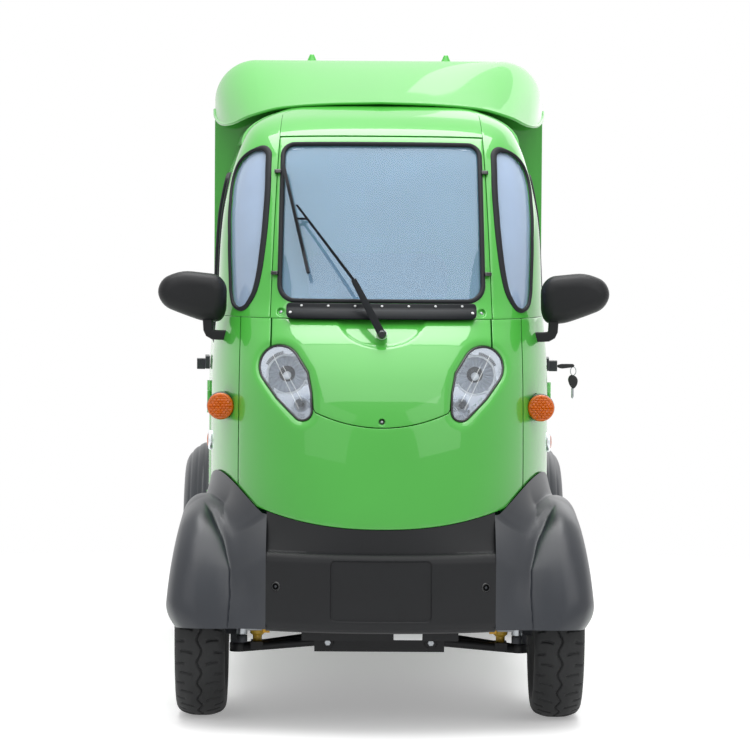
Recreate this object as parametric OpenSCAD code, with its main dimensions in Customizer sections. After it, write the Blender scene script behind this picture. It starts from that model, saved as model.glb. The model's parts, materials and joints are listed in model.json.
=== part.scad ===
/* [Overall] */
// centre of the front axle to centre of the rear axle
wheelbase = 1995; // [1900:5:2050]
// nose of the bumper to the front axle
front_overhang = 430; // [410:5:450]
// rear axle to the rear doors' outer face
rear_overhang = 465; // [440:5:490]

/* [Wheels] */
// distance between the front tyres' middles
front_track = 932; // [920:2:944]
// distance between the rear tyres' middles
rear_track = 1024; // [1010:2:1032]
// radius of the tyres
tyre_r = 243; // [236:1:248]
// width of the tyres
tyre_w = 128; // [118:1:132]
// radius of the rims at the bead
rim_r = 165; // [150:1:172]
// radius of the stub axles
stub_r = 11; // [9:0.5:14]

/* [Cab] */
// half width of the cab at the door's front edge
cab_w = 455; // [445:1:465]
// thickness of the cab panels
wall = 20; // [14:1:24]
// thickness of the doors
door_t = 35; // [28:1:40]
// clearance round a door
door_gap = 6; // [5:0.5:9]
// height of the top of the cab floor
floor_z = 326; // [320:1:332]

/* [Cargo box] */
// half width of the box
box_w = 472; // [462:1:478]
// height of the box roof above the cab roof
box_rise = 125; // [110:1:140]
// height of the underside of the box floor
box_floor = 560; // [540:1:575]
// thickness of the box walls
box_t = 25; // [18:1:32]
// radius of the upper edges of the box
box_r = 120; // [90:1:130]

/* [Mudguards] */
// radius of the front mudguard's crown about the axle
guard_r = 342; // [338:1:348]
// radius of the mudguard's lip about the axle
guard_lip = 262; // [256:1:268]
// thickness of the mudguards and the bumper
guard_t = 5; // [4:0.5:8]
// reach of the rear mudguard beyond the box's side
rear_guard_w = 118; // [110:1:128]

/* [Running gear] */
// half distance between the kingpins
kingpin_x = 372; // [366:1:378]
// reach of the steering arms ahead of the kingpins
steer_arm = 125; // [110:1:135]
// radial clearance of turning and sliding fits
fit = 0.05; // [0.02:0.01:0.09]

/* [Hidden] */
$fn = 48;
// length of cuts that pass right through
cut_l = 4000;
overall_l = front_overhang + wheelbase + rear_overhang;
nose_y = -overall_l / 2;
tail_y = overall_l / 2;
axle_f = nose_y + front_overhang;
axle_r = axle_f + wheelbase;
door_y = axle_f + 375;
door_yaw = 2.815;
door_l = 608;
back_y = door_y + door_l + door_gap;
wheel_fx = front_track / 2;
wheel_rx = rear_track / 2;
arch_r = guard_r + 58;
axle_z = tyre_r;
seam_x = cab_w - 85;
bumper_x = cab_w - 162;

// cab ribs: height and y on the centre line, then half width, height and y at the back end, and squareness
cab_ribs = [
  [ 280, nose_y +   73, cab_w,        280, door_y,       2.4],
  [ 525, nose_y +   43, cab_w +   1,  525, door_y,       2.4],
  [ 660, nose_y +   41, cab_w +   1,  660, door_y,       2.4],
  [ 785, nose_y +   67, cab_w +   1,  785, door_y,       2.4],
  [ 900, nose_y +  133, cab_w,        900, door_y,       2.45],
  [ 985, nose_y +  219, cab_w -   6,  985, door_y,       2.5],
  [1050, nose_y +  310, cab_w -  12, 1050, door_y,       2.6],
  [1100, nose_y +  363, cab_w -  15, 1100, door_y,       2.7],
  [1300, nose_y +  500, cab_w -  26, 1300, door_y +  10, 3.0],
  [1450, nose_y +  603, cab_w -  54, 1440, door_y +  40, 3.0],
  [1530, nose_y +  680, cab_w -  79, 1515, door_y +  80, 2.8],
  [1580, nose_y +  780, cab_w - 110, 1562, door_y + 120, 2.6],
  [1612, nose_y +  905, cab_w - 180, 1600, door_y + 170, 2.5],
  [1632, nose_y + 1005, cab_w - 255, 1620, door_y + 200, 2.4],
];

box_top = cab_ribs[len(cab_ribs) - 1][0] + box_rise;
rear_hinges = [box_floor + 200, box_top - 357];
spring_half = rear_overhang - 85;

// half widths of the windscreen panel's side seams by height
screen_seam = [[1050, cab_w - 164], [1300, cab_w - 172], [1530, cab_w - 182], [1632, cab_w - 190]];

// outer line of a door: offset from its plane and height
door_line = [
  [0, 340], [0, 900], [-10, 930], [-12, 1050], [-15, 1100],
  [-26, 1300], [-38, 1375], [-54, 1440], [-78, 1500],
];

// rim of the box's front fairing: half width, y and height
fairing_rim = [
  [box_w,       back_y - 30,  1612],
  [box_w -   6, back_y - 110, 1588],
  [box_w -  28, back_y - 230, 1569],
  [box_w -  62, back_y - 330, 1570],
  [box_w - 112, back_y - 400, 1590],
  [box_w - 200, back_y - 452, 1612],
  [box_w - 320, back_y - 488, 1622],
  [0,           back_y - 500, 1626],
];

function slope(t, c, i) =
  let (a = max(i - 1, 0), b = min(i + 1, len(t) - 1))
  (t[b][c] - t[a][c]) / (t[b][0] - t[a][0]);
function span(t, h, i = 0) = i >= len(t) - 2 || h < t[i + 1][0] ? i : span(t, h, i + 1);
function blend(t, c, h) =
  let (i = span(t, h), d = t[i + 1][0] - t[i][0], u = (h - t[i][0]) / d, v = 1 - u)
  t[i][c] * v * v * (1 + 2 * u) + t[i + 1][c] * u * u * (3 - 2 * u)
  + d * u * v * (slope(t, c, i) * v - slope(t, c, i + 1) * u);
function steps(a, b, m) = [for (i = [0:m]) a + (b - a) * i / m];
function lift(h) = max(0, min(1, (h - 1420) / 200));
function cab_half(h, inset = 0) = blend(cab_ribs, 2, h) - inset;

// point of the cab's skin: x, height of its rib on the centre line, depth below the skin
function cab_point(x, h, inset = 0) =
  let (n = blend(cab_ribs, 5, h),
       zs = blend(cab_ribs, 3, h) - inset * lift(h) * 0.7,
       zc = h - inset * lift(h),
       ys = blend(cab_ribs, 4, h),
       yc = blend(cab_ribs, 1, h) + inset * (1.25 - 0.75 * lift(h)),
       q = min(abs(x) / cab_half(h, inset), 1),
       c = pow(1 - pow(q, n), 1 / n))
  [x, ys + (yc - ys) * c, zs + (zc - zs) * c];
function cab_front(x, h) = cab_point(x, h)[1];

// half width of the cab's skin at a given y and height
function cab_side(y, h) =
  let (n = blend(cab_ribs, 5, h), ys = blend(cab_ribs, 4, h), yc = blend(cab_ribs, 1, h),
       c = max(0, min(1, (y - ys) / (yc - ys))))
  cab_half(h) * pow(1 - pow(c, n), 1 / n);

function seam_at(h) = min(blend(screen_seam, 1, h), 0.86 * cab_half(h));
// share of the way from a start x to the cab's side, closing up towards the side
function toward_side(x0, h, u, inset = 0) =
  let (n = blend(cab_ribs, 5, h), w = cab_half(h, inset), a0 = asin(pow(x0 / w, n / 2)))
  w * pow(sin(a0 + (90 - a0) * u), 2 / n);

// closed shell between two grids of points
module skin(outer, inner) {
  m = len(outer);
  n = len(outer[0]);
  o = m * n;
  pts = concat([for (r = outer) each r], [for (r = inner) each r]);
  cells = [for (i = [0:m - 2]) for (j = [0:n - 2]) i * n + j];
  polyhedron(pts, concat(
    [for (a = cells) each [[a, a + 1, a + n + 1], [a, a + n + 1, a + n]]],
    [for (a = cells) each [[o + a, o + a + n + 1, o + a + 1], [o + a, o + a + n, o + a + n + 1]]],
    [for (j = [0:n - 2]) each [[j, o + j, o + j + 1], [j, o + j + 1, j + 1]]],
    [for (j = [0:n - 2]) let (a = (m - 1) * n + j)
      each [[a, a + 1, o + a + 1], [a, o + a + 1, o + a]]],
    [for (i = [0:m - 2]) let (a = i * n) each [[a, a + n, o + a + n], [a, o + a + n, o + a]]],
    [for (i = [0:m - 2]) let (a = i * n + n - 1)
      each [[a, o + a, o + a + n], [a, o + a + n, a + n]]]));
}

// front part of the cab's skin between two depths
module front_skin(x0, x1, h0, h1, nx, nh, d0, d1) {
  rows = steps(h0, h1, nh);
  cols = steps(x0, x1, nx);
  skin([for (h = rows) [for (x = cols) cab_point(x, h, d0)]],
       [for (h = rows) [for (x = cols) cab_point(x, h, d1)]]);
}

// corner of the cab's skin, from a start x to the side
module corner_skin(starts, rows, nu, d0, d1, end = 1) {
  cols = steps(0, end, nu);
  skin([for (i = [0:len(rows) - 1]) [for (u = cols)
         cab_point(toward_side(starts[i], rows[i], u, d0), rows[i], d0)]],
       [for (i = [0:len(rows) - 1]) [for (u = cols)
         cab_point(toward_side(starts[i], rows[i], u, d1), rows[i], d1)]]);
}

// outline given as x and z, pushed through along y
module through_y(y0 = -cut_l / 2, y1 = cut_l / 2) {
  translate([0, y1, 0])
    rotate([90, 0, 0])
      linear_extrude(y1 - y0)
        children();
}

// outline given as y and z, pushed through along x
module through_x(x0, x1) {
  translate([x0, 0, 0])
    rotate([90, 0, 90])
      linear_extrude(x1 - x0)
        children();
}

module pair() {
  children();
  mirror([1, 0, 0])
    children();
}

module rod(p, q, r) {
  d = q - p;
  l = norm(d);
  translate(p)
    rotate([0, acos(d[2] / l), atan2(d[1], d[0])])
      cylinder(r = r, h = l);
}

module bar(p, q) {
  translate(p)
    cube(q - p);
}

module along_x(p, r, l) {
  translate(p)
    rotate([0, 90, 0])
      cylinder(r = r, h = l);
}

module along_y(p, r, l) {
  translate(p)
    rotate([-90, 0, 0])
      cylinder(r = r, h = l);
}

module rounded(w, h, r) {
  translate([-w / 2 + r, -h / 2])
    square([w - 2 * r, h]);
  translate([-w / 2, -h / 2 + r])
    square([w, h - 2 * r]);
  for (x = [-1, 1], y = [-1, 1])
    translate([x * (w / 2 - r), y * (h / 2 - r)])
      circle(r);
}

// frame of the door on the positive x side
module on_door() {
  translate([cab_w, door_y, 0])
    rotate([0, 0, -door_yaw])
      children();
}

function shifted(line, d) = [for (p = line) [p[0] + d, p[1]]];
function backward(line) = [for (i = [len(line) - 1:-1:0]) line[i]];

// middle of the direction lamps
indicator_x = cab_w - 34;

// lower edge of the nose panel by x
function smile(x) = 525 + 37 * pow(abs(x) / bumper_x, 2.2);

// headlamp outline: two arcs joined by straight flanks, as x and z
lamp_big = [cab_w - 193, 928, 56];
lamp_tip = [cab_w - 252, 822, 27];
function arc(c, a0, a1, m) = [for (a = steps(a0, a1, m)) [c[0] + c[2] * cos(a), c[1] + c[2] * sin(a)]];
lamp_line = concat(
  arc(lamp_big, -35, 150, 13), [[lamp_tip[0] - 15, 918], [lamp_tip[0] - 25, 868]],
  arc(lamp_tip, 172, 312, 8), [[lamp_big[0] + 9, 849]]);

// lid between the headlamps
lid_x = cab_w - 169;
lid_low = lamp_tip[0] - 43;
lid_half = concat(
  [for (x = steps(0, lid_low, 4)) [x, 784 + 36 * pow(x / (lid_low + 10), 2)]],
  [[lid_low + 12, 822], [lamp_tip[0], 822], [lamp_big[0], 928], [lid_x, 940], [lid_x, 1070]]);
bonnet_line = concat(
  [for (q = backward(lid_half)) if (q[0] > 0) [-q[0], q[1]]], lid_half);

// steering wheel: tilt of its column, middle of its rim, direction of the column
wheel_tilt = 56;
wheel_c = [0, door_y + 6, 1013];
column = [0, sin(wheel_tilt), cos(wheel_tilt)];

// windscreen and quarter window outlines as x and height
screen_x = cab_w - 187;
screen_line = concat(
  arc([screen_x - 42, 1138, 42], -90, -4, 5), arc([screen_x - 36, 1478, 32], 2, 90, 5),
  arc([36 - screen_x, 1478, 32], 90, 178, 5), arc([42 - screen_x, 1138, 42], 184, 270, 5));
quarter_x = cab_w - 153;
quarter_line = [
  for (q = [
    [0, 1488], [12, 1502], [38, 1498], [64, 1484], [84, 1460], [96, 1424], [102, 1380], [103, 1230],
    [97, 1110], [90, 1080], [74, 1068], [56, 1074], [32, 1112], [19, 1172], [8, 1270], [1, 1380],
  ]) [quarter_x + q[0], q[1]],
];

module chassis_frame() {
  kick_y = axle_r - 350;
  rear_rail = 352;
  bearers = [back_y + 60, axle_r - 400, tail_y - 95];
  color("#2b2d30") {
    for (s = [-1, 1]) {
      bar([s * 185 - 20, nose_y + 150, 262], [s * 185 + 20, kick_y + 30, 322]);
      bar([s * 185 - 20, kick_y - 30, 262], [s * 185 + 20, kick_y + 30, rear_rail + 60]);
      bar([s * 185 - 20, kick_y, rear_rail], [s * 185 + 20, tail_y - 54, rear_rail + 60]);
    }
    bar([-202, nose_y + 165, 228], [202, nose_y + 215, 290]);
    for (y = [axle_f + 200, back_y + 60])
      bar([-190, y - 20, 268], [190, y + 20, 316]);
    for (y = [axle_r - 200, tail_y - 95])
      bar([-190, y - 20, rear_rail + 6], [190, y + 20, rear_rail + 54]);
    for (y = [axle_f - 90, axle_f + 90])
      bar([-170, y - 12, 180], [170, y + 12, 262.5]);
    pair() {
      along_y([135, axle_f - 95, 205], 8, 190);
      bar([190, axle_f - 106, 268], [282, axle_f + 106, 300]);
      bar([254, axle_f - 106, 290], [282, axle_f + 106, 484]);
      bar([254, axle_f - 34, 470], [352, axle_f + 34, 484]);
      for (y = [axle_f - 100, axle_f - 50, axle_f + 50, axle_f + 100])
        bar([280, y - 6, 372], [306, y + 6, 404]);
      for (y = [axle_f - 104, axle_f + 46])
        along_y([294, y, 388], 7, 58);
    }
    for (y = bearers) {
      bar([40 - box_w, y - 20, box_floor - 40], [box_w - 40, y + 20, box_floor]);
      for (s = [-1, 1])
        bar([s * 185 - 20, y - 20, 300], [s * 185 + 20, y + 20, box_floor - 20]);
    }
    pair()
      for (y = [axle_r - spring_half, axle_r + spring_half])
        bar([190, y - 25, 305], [288, y + 25, rear_rail + 40]);
    bar([-190, axle_f - 165, 272], [190, axle_f - 115, 304]);
    for (s = [-1, 1])
      bar([s * 140 - 12, axle_f - 152, 265.2], [s * 140 + 12, axle_f - 128, 275]);
    bar([-30, tail_y - 110, 290], [30, tail_y - 70, rear_rail + 20]);
    difference() {
      bar([-40, tail_y - 110, 280], [40, tail_y - 10, 304]);
      translate([0, tail_y - 36, 270])
        cylinder(r = 11, h = 50);
    }
  }
}

module steering_rack_tube() {
  difference() {
    along_x([-155, axle_f - steer_arm - 15, 246], 19, 310);
    along_x([-200, axle_f - steer_arm - 15, 246], 10 + fit, 400);
  }
}

module cab_floor() {
  side = cab_w - 15;
  color("#3a3c3e") {
    bar([-side, axle_f + 380, floor_z - 4], [side, back_y, floor_z]);
    bar([12 - side, axle_f + 315, floor_z - 4], [side - 12, axle_f + 381, floor_z]);
    bar([-250, nose_y + 180, floor_z - 4], [250, axle_f + 320, floor_z]);
    pair() {
      bar([246, nose_y + 180, floor_z - 4], [250, axle_f + 319, 516]);
      bar([246, axle_f - 185, 512], [side - 25, axle_f + 319, 516]);
      bar([246, axle_f + 315, floor_z - 4], [side - 12, axle_f + 319, 516]);
      bar([side - 40, axle_f + 380, 296], [side, back_y, floor_z]);
    }
    bar([-250, nose_y + 180, floor_z - 4], [250, nose_y + 184, 516]);
  }
}

module nose_panel() {
  color("#62c858")
    difference() {
      front_skin(-seam_x, seam_x, 500, 1050, 26, 14, 0, wall);
      through_y()
        polygon(bonnet_line);
      pair()
        through_y()
          polygon(lamp_line);
      through_y()
        polygon(concat(
          [for (x = steps(-seam_x - 8, seam_x + 8, 16)) [x, smile(x)]],
          [[seam_x + 30, 400], [-seam_x - 30, 400]]));
      along_x([-cut_l / 2, axle_f, axle_z], arch_r, cut_l);
    }
}

module bonnet_cover() {
  color("#62c858")
    intersection() {
      front_skin(-lid_x - 4, lid_x + 4, 770, 1050, 20, 9, 0, wall);
      difference() {
        through_y()
          polygon(bonnet_line);
        pair()
          through_y()
            polygon(lamp_line);
      }
    }
}

module windscreen_frame() {
  rows = steps(1050, 1530, 12);
  cols = steps(-1, 1, 16);
  color("#62c858")
    difference() {
      skin([for (h = rows) [for (u = cols) cab_point(u * seam_at(h), h)]],
           [for (h = rows) [for (u = cols) cab_point(u * seam_at(h), h, wall)]]);
      through_y()
        polygon(screen_line);
    }
}

module corner_panels() {
  rows = concat(steps(1050, 1500, 9), [1530, 1555, 1580, 1600, 1612, 1622, 1632]);
  color("#62c858")
    pair()
      difference() {
        corner_skin([for (h = rows) seam_at(h) + 2], rows, 12, 0, wall);
        through_y()
          polygon(quarter_line);
      }
}

module lower_corners() {
  rows = concat([380], steps(420, 1050, 10));
  color("#62c858")
    pair()
      difference() {
        corner_skin([for (h = rows) seam_x], rows, 8, 0, wall);
        along_x([0, axle_f, axle_z], arch_r, cut_l);
        along_y([indicator_x, axle_f - 400, 820], 36.3, 394);
        along_x([cab_w - 155, axle_f + 215, 712], 16.3, 300);
        along_x([cab_w - 155, axle_f + 98, 1000], 11.3, 300);
      }
}

module door_hinges() {
  color("#2b2d30")
    pair()
      on_door()
        for (z = [520, 820])
          hinge_fixed(z);
}

// fixed half of a door hinge on the door's frame
module hinge_fixed(z) {
  for (k = [-1, 1]) {
    rotate([0, 0, door_yaw])
      bar([1.3, -40, z + k * 30 - 14], [5, -1, z + k * 30 + 14]);
    bar([2.4, -9, z + k * 30 - 14], [8, 0, z + k * 30 + 14]);
    translate([8, 0, z + k * 30 - 14])
      cylinder(r = 6.5, h = 28);
  }
  translate([8, 0, z - 30])
    cylinder(r = 3, h = 60);
}

// turning half of a door hinge on the door's frame
module hinge_moving(z) {
  difference() {
    union() {
      bar([-1, door_gap + 2, z - 15], [4, 45, z + 15]);
      bar([2, 0, z - 15], [8, door_gap + 4, z + 15]);
      translate([8, 0, z - 15])
        cylinder(r = 6.5, h = 30);
    }
    translate([8, 0, z - 20])
      cylinder(r = 3 + fit, h = 40);
  }
}

module cab_roof() {
  rows = [1533, 1555, 1580, 1600, 1612, 1622, 1632];
  cols = steps(-1, 1, 12);
  angs = steps(-90, 90, 18);
  ys = steps(0, 1, 3);
  color("#62c858") {
    skin([for (h = rows) [for (u = cols) cab_point(u * seam_at(h), h)]],
         [for (h = rows) [for (u = cols) cab_point(u * seam_at(h), h, wall)]]);
    skin([for (v = ys) [for (a = angs) roof_point(a, v, 0)]],
         [for (v = ys) [for (a = angs) roof_point(a, v, wall)]]);
  }
}

// back edge of the cab's corners by height, and the roof behind it
roof_edge = [for (r = cab_ribs) if (r[0] >= 1530) [r[3], r[4]]];
function roof_point(a, v, inset) =
  let (up = pow(cos(a), 2 / 2.2),
       y0 = min(blend(roof_edge, 1, 1508 + 126 * up), door_y + 200) + 10,
       y = y0 + (back_y - y0) * v,
       xe = cab_w - 78 + (y - door_y) * tan(door_yaw) - inset)
  [sign(a) * xe * pow(abs(sin(a)), 2 / 2.2), y, 1508 + (126 - inset) * up];

module windscreen() {
  color("#8fa3ad")
    intersection() {
      front_skin(-screen_x - 8, screen_x + 8, 1090, 1516, 12, 8, 5, 11);
      through_y()
        polygon(screen_line);
    }
}

module quarter_glass() {
  rows = steps(1056, 1512, 9);
  color("#8fa3ad")
    pair()
      intersection() {
        corner_skin([for (h = rows) quarter_x - 10], rows, 7, 6, 11, 0.86);
        through_y()
          polygon(quarter_line);
      }
}

module cowl_vent() {
  cowl_x = screen_x - 18;
  color("#17181a")
    intersection() {
      front_skin(-cowl_x - 2, cowl_x + 2, 1040, 1100, 16, 4, -14, -1.85);
      through_y()
        translate([0, 1069])
          rounded(2 * cowl_x, 44, 20);
    }
}

module headlamp_lenses() {
  color("#cfd8dc")
    pair()
      intersection() {
        front_skin(lamp_tip[0] - 43, lamp_big[0] + 68, 780, 990, 8, 8, -4, 2);
        through_y()
          polygon(lamp_line);
      }
}

module headlamp_bowls() {
  color("#c8ccd0")
    pair()
      intersection() {
        front_skin(lamp_tip[0] - 43, lamp_big[0] + 68, 780, 990, 8, 8, 14, 19);
        through_y()
          polygon(lamp_line);
      }
}

module indicators() {
  color("#e8741a")
    pair() {
      along_y([indicator_x, axle_f - 92, 820], 36, 86);
      along_x([cab_w - 15, axle_f + 215, 712], 16, 24);
    }
}

// bumper section at x: lower face, ledge and slope back to the nose
bumper_face = [[262, 30], [270, 10], [290, 0], [360, 0], [430, 0], [450, 4], [462, 14], [467, 28]];
function bumper_drop(x) = 400 * (1 - sqrt(1 - pow(x / 560, 2)));
function bumper_point(x, k, d) =
  let (m = len(bumper_face), l = bumper_face[m - 1], y0 = nose_y + bumper_drop(x))
  k < m ? [x, y0 + bumper_face[k][1] + d, bumper_face[k][0] - (k > 5 ? d * 0.7 : 0)]
  : let (u = (k - m + 1) / 3, t = smile(x))
    [x,
     (y0 + l[1]) * (1 - u) + (cab_front(x, t) - 2) * u + d * (1 - 0.4 * u),
     l[0] + (t - 0.5 - l[0]) * u - d * 0.7 * (1 - u)];

module front_bumper() {
  rows = [0:len(bumper_face) + 2];
  cols = steps(-bumper_x, bumper_x, 16);
  color("#2f3031")
    skin([for (k = rows) [for (x = cols) bumper_point(x, k, 0)]],
         [for (k = rows) [for (x = cols) bumper_point(x, k, guard_t)]]);
}

// front mudguard as a height over the axle by angle and share of its width
function guard_edge(a) =
  a <= 50 ? [bumper_x, a < 29 ? (axle_f - nose_y - bumper_drop(bumper_x)) / cos(a) : 424 - (a - 29) * 0.6]
  : let (r = a < 100 ? arch_r + 3 : min(arch_r + 3, (axle_f - door_y + 8) / cos(a)))
    [max(bumper_x, cab_side(axle_f - r * cos(a), axle_z + r * sin(a)) + 5), r + max(0, 54 - a)];
function guard_point(a, k, d) =
  let (e = guard_edge(a), xo = wheel_fx + 57 + 31 * pow(cos(a), 2) - 28 * pow(max(0, 1 - (a - 4) / 14), 2),
       xe = max(wheel_fx - 58, e[0] + 22), xs = max(xe + 8, xo - 84),
       p = k < 4 ? let (u = k / 4) [e[0] + (xe - e[0]) * u, guard_r + (e[1] - guard_r) * (1 - u) * (1 - u)]
         : k == 4 ? [xe, guard_r]
         : let (b = (k - 5) / 5 * 90) [xs + (xo - xs) * sin(b), guard_lip + (guard_r - guard_lip) * cos(b)],
       b = k < 5 ? 0 : (k - 5) / 5 * 90,
       x = p[0] - d * sin(b), r = p[1] - d * cos(b))
  [x, axle_f - r * cos(a), axle_z + r * sin(a)];
module front_mudguards() {
  angs = [4, 10, 17, 24, 30, 37, 44, 50, 56, 63, 71, 80, 90, 102, 115, 128, 142, 156, 170];
  color("#3a3d42")
    pair()
      skin([for (a = angs) [for (k = [0:10]) guard_point(a, k, 0)]],
           [for (a = angs) [for (k = [0:10]) guard_point(a, k, guard_t)]]);
}

// rear mudguard: quarter round shell swept over the wheel
module rear_mudguards() {
  shell = [for (b = steps(0, 90, 8)) [guard_lip + 90 * cos(b), box_w + rear_guard_w * sin(b)]];
  inner = [for (b = steps(90, 0, 8))
    [guard_lip + (90 - guard_t) * cos(b), box_w + (rear_guard_w - guard_t) * sin(b)]];
  color("#3a3d42")
    pair()
      translate([0, axle_r, axle_z])
        rotate([0, 90, 0])
          rotate([0, 0, -92])
            rotate_extrude(angle = 184, start = 180)
              polygon(concat(shell, inner));
}

module mirrors() {
  color("#3a3d42")
    pair()
      translate([cab_w, axle_f + 98, 0]) {
        along_x([-60, 0, 1000], 11, 70);
        rod([3, 0, 1000], [7, 0, 1050], 9);
        difference() {
          hull()
            for (p = [[-7, 1148], [125, 1150], [137, 1118], [105, 1066], [0, 1058]])
              translate([p[0], 0, p[1]])
                sphere(r = 16, $fn = 16);
          bar([-25, 10, 1030], [165, 42, 1180]);
        }
      }
}

module mirror_glass() {
  color("#cdd6da")
    pair()
      translate([cab_w, 0, 0])
        through_y(axle_f + 108, axle_f + 110)
          polygon([[-11, 1152], [127, 1154], [141, 1118], [107, 1060], [-5, 1052]]);
}

module wiper() {
  c = cab_point(0, 1006);
  a = cab_point(196 - screen_x, 1150) + [0, -42, 0];
  b = cab_point(44 - screen_x, 1345) + [0, -38, 0];
  b0 = cab_point(6 - screen_x, 1452) + [0, -22, 0];
  b1 = cab_point(76 - screen_x, 1168) + [0, -22, 0];
  color("#1c1d1f") {
    along_y([0, c[1] - 34, 1015], 9, 33.7);
    rod([0, c[1] - 24, 1015], a, 7);
    rod(a, b, 4);
    rod(b0, b1, 5);
    rod(b, (b0 + b1) / 2, 5);
  }
}

module box_section(w, top, r) {
  translate([-w, box_floor])
    square([2 * w, top - r - box_floor]);
  translate([-w + r, box_floor])
    square([2 * w - 2 * r, top - box_floor]);
  for (s = [-1, 1])
    translate([s * (w - r), top - r])
      circle(r);
}

box_y0 = back_y + box_t;
box_y1 = tail_y - box_t - 7;

module box_front() {
  color("#5cc052")
    union() {
      through_y(back_y, box_y0)
        box_section(box_w, box_top, box_r);
      bar([-box_w, back_y, floor_z - 4], [box_w, box_y0, box_floor + 1]);
    }
}

module box_bed() {
  side = box_w - box_t - 6;
  color("#8a8f93") {
    bar([-box_w, box_y0, box_floor], [box_w, box_y1, box_floor + 30]);
    bar([-side, box_y0 + 6, box_floor + 20], [side, box_y1 - 6, box_floor + 34]);
  }
}

module box_sides() {
  color("#62c858")
    pair() {
      bar([box_w - box_t, box_y0, box_floor + 30], [box_w, box_y1, box_top - box_r]);
      for (z = rear_hinges)
        rear_hinge_fixed(z);
    }
}

module box_roof() {
  color("#62c858") {
    through_y(box_y0, box_y1)
      difference() {
        intersection() {
          box_section(box_w, box_top, box_r);
          translate([-cut_l / 2, box_top - box_r])
            square([cut_l, cut_l]);
        }
        box_section(box_w - box_t, box_top - box_t, box_r - box_t);
      }
    pair()
      translate([194, back_y + 60, box_top - 3])
        cylinder(r1 = 16, r2 = 6, h = 22);
  }
}

module rear_hinge_fixed(z) {
  for (k = [-1, 1]) {
    bar([box_w - 1, box_y1 - 44, z + k * 34 - 15], [box_w + 8, box_y1 + 1, z + k * 34 + 15]);
    translate([box_w + 8, box_y1 + 3, z + k * 34 - 15])
      cylinder(r = 7, h = 30);
  }
  translate([box_w + 8, box_y1 + 3, z - 30])
    cylinder(r = 3.5, h = 60);
}

module rear_door() {
  difference() {
    union() {
      intersection() {
        through_y(box_y1 + 7, tail_y)
          box_section(box_w, box_top, box_r);
        bar([3, 0, box_floor], [cut_l, cut_l, cut_l]);
      }
      for (z = rear_hinges) {
        translate([box_w + 8, box_y1 + 3, z - 17])
          cylinder(r = 7, h = 34);
        bar([box_w - 6, box_y1 + 7, z - 17], [box_w + 12, box_y1 + 24, z + 17]);
      }
    }
    for (z = rear_hinges)
      translate([box_w + 8, box_y1 + 3, z - 30])
        cylinder(r = 3.5 + fit, h = 60);
  }
}

module rear_door_right() {
  color("#62c858")
    rear_door();
}

module rear_door_left() {
  color("#62c858")
    mirror([1, 0, 0])
      rear_door();
}

// fairing over the cab roof: shares across the rim and forward from the box, and depth below its skin
function rim_at(u, d) =
  let (m = len(fairing_rim) - 1, i = min(floor(u * m), m - 1), v = u * m - i,
       p = fairing_rim[i] * (1 - v) + fairing_rim[i + 1] * v)
  [p[0] * (1 - d / box_w), p[1] + d, p[2]];
function fairing_back(u, d) =
  let (w = box_w - d, t = box_top - d, r = box_r - d, z0 = fairing_rim[0][2])
  u < 0.28 ? [w, back_y, z0 + (t - r - z0) * u / 0.28]
  : u < 0.62 ? let (b = (u - 0.28) / 0.34 * 90) [w - r + r * cos(b), back_y, t - r + r * sin(b)]
  : [(w - r) * (1 - (u - 0.62) / 0.38), back_y, t];
function fairing_point(u, v, d) =
  let (f = rim_at(1 - abs(u), d), b = fairing_back(1 - abs(u), d), c = 1 - pow(v, 1.15))
  [sign(u) * (f[0] + (b[0] - f[0]) * c), b[1] + (f[1] - b[1]) * v, f[2] + (b[2] - f[2]) * c];

module box_fairing() {
  us = concat(steps(-1, -0.05, 17), [0], steps(0.05, 1, 17));
  vs = steps(1, 0, 7);
  color("#62c858")
    skin([for (v = vs) [for (u = us) fairing_point(u, v, 0)]],
         [for (v = vs) [for (u = us) fairing_point(u, v, 8)]]);
}

module side_skirts() {
  color("#62c858")
    pair()
      difference() {
        union() {
          bar([box_w - 14, box_y0 + 2, 340], [box_w, axle_r, box_floor]);
          bar([box_w - 14, axle_r, 340], [box_w, tail_y - 32, box_floor]);
        }
        along_x([0, axle_r, axle_z], guard_lip + 92, cut_l);
      }
}

module door_section(d0, d1) {
  translate([0, door_l, 0])
    rotate([90, 0, 0])
      linear_extrude(door_l)
        polygon(concat(shifted(door_line, d0), backward(shifted(door_line, d1))));
}

door_edge = [
  [door_gap, 340], [door_l, 340], [door_l, 1500], [door_gap + 74, 1500],
  [door_gap + 40, 1440], [door_gap + 10, 1300], [door_gap, 1100],
];
door_window = [[56, 968], [door_l - 56, 968], [door_l - 56, 1424], [104, 1424], [68, 1300]];

module door() {
  on_door()
    union() {
      difference() {
        intersection() {
          door_section(0, -door_t);
          through_x(-cut_l / 4, cut_l / 4)
            polygon(door_edge);
        }
        through_x(-cut_l / 4, cut_l / 4)
          polygon(door_window);
      }
      for (z = [520, 820])
        hinge_moving(z);
    }
}

module door_glass() {
  on_door()
    intersection() {
      door_section(-14, -19);
      through_x(-cut_l / 4, cut_l / 4)
        polygon(door_window);
    }
}

module door_handle() {
  on_door() {
    bar([0, door_l - 128, 872], [12, door_l - 18, 908]);
    bar([12, door_l - 63, 868], [36, door_l - 18, 898]);
  }
}

module door_right() {
  color("#62c858")
    door();
}
module door_left() {
  color("#62c858")
    mirror([1, 0, 0])
      door();
}
module door_glass_right() {
  color("#8fa3ad")
    door_glass();
}
module door_glass_left() {
  color("#8fa3ad")
    mirror([1, 0, 0])
      door_glass();
}
module door_handles_right() {
  color("#2b2d30")
    door_handle();
}
module door_handles_left() {
  color("#2b2d30")
    mirror([1, 0, 0])
      door_handle();
}

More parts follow.
